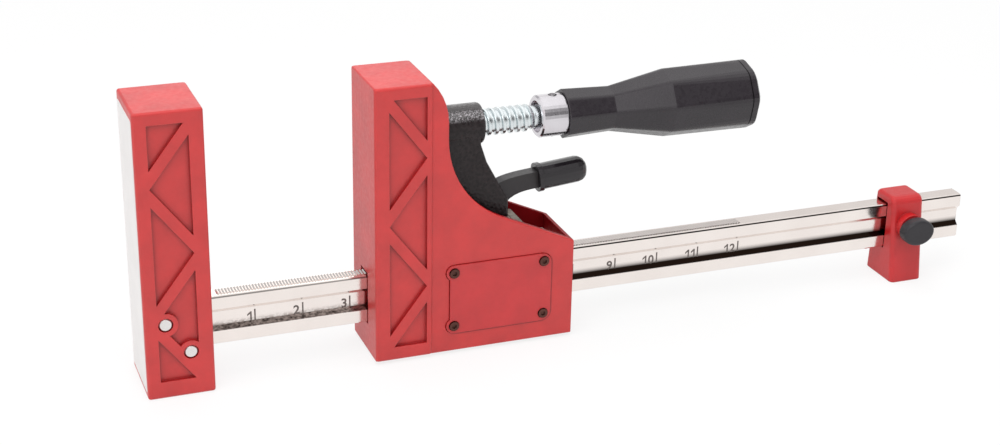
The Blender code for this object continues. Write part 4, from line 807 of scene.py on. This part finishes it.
def studio_world():
    """Soft white surroundings, white to the camera, with regions that only glossy surfaces see."""
    world = bpy.data.worlds.new("studio")
    bpy.context.scene.world = world
    world.use_nodes = True
    tree = world.node_tree
    tree.nodes.clear()
    ray = add_node(tree, "ShaderNodeLightPath", {}).outputs
    soft = background(tree, SOFT_WHITE, SOFT_STRENGTH)
    glossy = background(tree, reflected(tree), 1.0)
    lit = blended(tree, ray["Is Glossy Ray"], soft, glossy)
    seen = combined(tree, "MAXIMUM", ray["Is Camera Ray"], ray["Is Transmission Ray"])
    shown = blended(tree, seen, lit, background(tree, WHITE, 1.0))
    add_node(tree, "ShaderNodeOutputWorld", {"Surface": shown})


def soft_lamp(name, place, target, side, power):
    """Square lamp that faces its target and isn't seen in glossy surfaces."""
    light = bpy.data.lights.new(name, "AREA")
    light.shape = "SQUARE"
    light.size = side
    light.energy = power
    lamp = bpy.data.objects.new(name, light)
    lamp.location = place
    aim = Vector(target) - Vector(place)
    lamp.rotation_euler = aim.to_track_quat("-Z", "Y").to_euler()
    lamp.visible_glossy = False
    bpy.context.scene.collection.objects.link(lamp)


def photo_camera():
    """Camera at the photo's place, turned by its yaw, pitch and roll."""
    yaw = math.radians(CAMERA_YAW)
    pitch = math.radians(CAMERA_PITCH)
    roll = math.radians(CAMERA_ROLL)
    forward = Vector((math.sin(yaw) * math.cos(pitch), math.cos(yaw) * math.cos(pitch), math.sin(pitch)))
    level = Vector((math.cos(yaw), -math.sin(yaw), 0))
    upward = level.cross(forward)
    right = math.cos(roll) * level + math.sin(roll) * upward
    up = math.cos(roll) * upward - math.sin(roll) * level
    data = bpy.data.cameras.new("photo_camera")
    data.sensor_width = CAMERA_SENSOR
    data.lens = CAMERA_LENS
    data.shift_x = CAMERA_SHIFT_X
    data.shift_y = CAMERA_SHIFT_Y
    data.clip_start = CAMERA_NEAREST
    camera = bpy.data.objects.new("photo_camera", data)
    matrix = Matrix((right, up, -forward)).transposed().to_4x4()
    matrix.translation = Vector(CAMERA_PLACE)
    camera.matrix_world = matrix
    bpy.context.scene.collection.objects.link(camera)
    bpy.context.scene.camera = camera


RED = linear(195, 42, 42)
red = red_moulded("red_moulding", RED)
red_housing = shaded_housing(red_moulded("red_housing", RED))
red_plate = red_moulded("red_plate", linear(191, 45, 48), roughness=0.44, grain=2400, depth=0.00005,
                        edge=0.0004, gloss=0.6)
red_stop = red_moulded("red_stop", linear(187, 30, 34), roughness=0.38, gloss=0.6)

# The handle's black moulding carries a painted shade line where its domed end starts
black = end_seam(moulded("black_moulding", linear(38, 33, 38), linear(94, 88, 93), roughness=0.28, grain=1500,
                         depth=0.00005, edge=0.0006))
knob = moulded("knob_moulding", linear(42, 40, 44), linear(92, 90, 94), roughness=0.42, grain=1600,
               depth=0.00005, edge=0.0005, gloss=0.4)
vinyl = moulded("dipped_vinyl", linear(30, 26, 30), linear(70, 66, 70), roughness=0.20, grain=700,
                depth=0.00003, edge=0.0005)

nickel = rail_plate("nickel_plate", linear(240, 232, 227), linear(230, 221, 216))
zinc = bright_metal("zinc_plate", linear(226, 232, 234), linear(208, 215, 216), roughness=0.24, streaks=900,
                    depth=0.00004)
chrome = bright_metal("polished_collar", linear(216, 213, 217), linear(196, 192, 197), roughness=0.18,
                      streaks=16, depth=0.00004, stretch=(160, 2, 2))
pin_steel = bright_metal("pin_steel", linear(232, 230, 228), linear(205, 203, 200), roughness=0.30,
                         streaks=700, depth=0.00006)
plain_steel = bright_metal("plain_steel", linear(128, 121, 111), linear(92, 76, 66), roughness=0.50,
                           streaks=20, depth=0.00005, stretch=(6, 90, 90))
roll_pin = bright_metal("roll_pin", linear(150, 147, 150), linear(92, 89, 92), roughness=0.34, streaks=1500,
                        depth=0.00006)
brass = bright_metal("brass", linear(216, 180, 104), linear(186, 146, 82), roughness=0.28, streaks=600,
                     depth=0.00004)
dark_steel = bright_metal("black_oxide", linear(104, 70, 63), linear(66, 48, 45), roughness=0.42, streaks=800,
                          depth=0.00005)
lever_steel = moulded("lever_paint", linear(38, 34, 36), linear(110, 106, 106), roughness=0.40, grain=1200,
                      depth=0.00006, edge=0.0004)
casting = wrinkle_paint("wrinkle_paint")
nylon = white_nylon()

dress(red, "fixed_jaw_cover")
dress(red_stop, "end_stop")
dress(red_housing, "jaw_cover")
dress(red_plate, "side_plate")
dress(nickel, "rail")
dress(casting, "sliding_arm", "fixed_jaw_core")
dress(pin_steel, "fixed_jaw_pin_upper", "fixed_jaw_pin_lower", "trigger_pin")
dress(roll_pin, "handle_pin")
dress(chrome, "spindle_collar")
dress(plain_steel, "thrust_plate", "thrust_retainer", "clutch_plate_front", "clutch_plate_rear")
dress(nylon, "jaw_glide_front", "jaw_glide_rear", "stop_pad")
dress(black, "handle")
dress(knob, "stop_knob")
dress(vinyl, "trigger_grip")
dress(lever_steel, "trigger")
dress(brass, "stop_insert")
dress(zinc, "spindle", "stop_screw")
dress(dark_steel, *(f"side_plate_screw_{number}" for number in range(1, 5)))

clamping_screw(zinc)
coil_spring(zinc)
rail_scale(etched_mark())
label_sheet(label_vinyl())

floor()
studio_world()
for lamp_row in LAMPS:
    soft_lamp(*lamp_row)
photo_camera()

scene = bpy.context.scene
scene.view_settings.view_transform = "Standard"
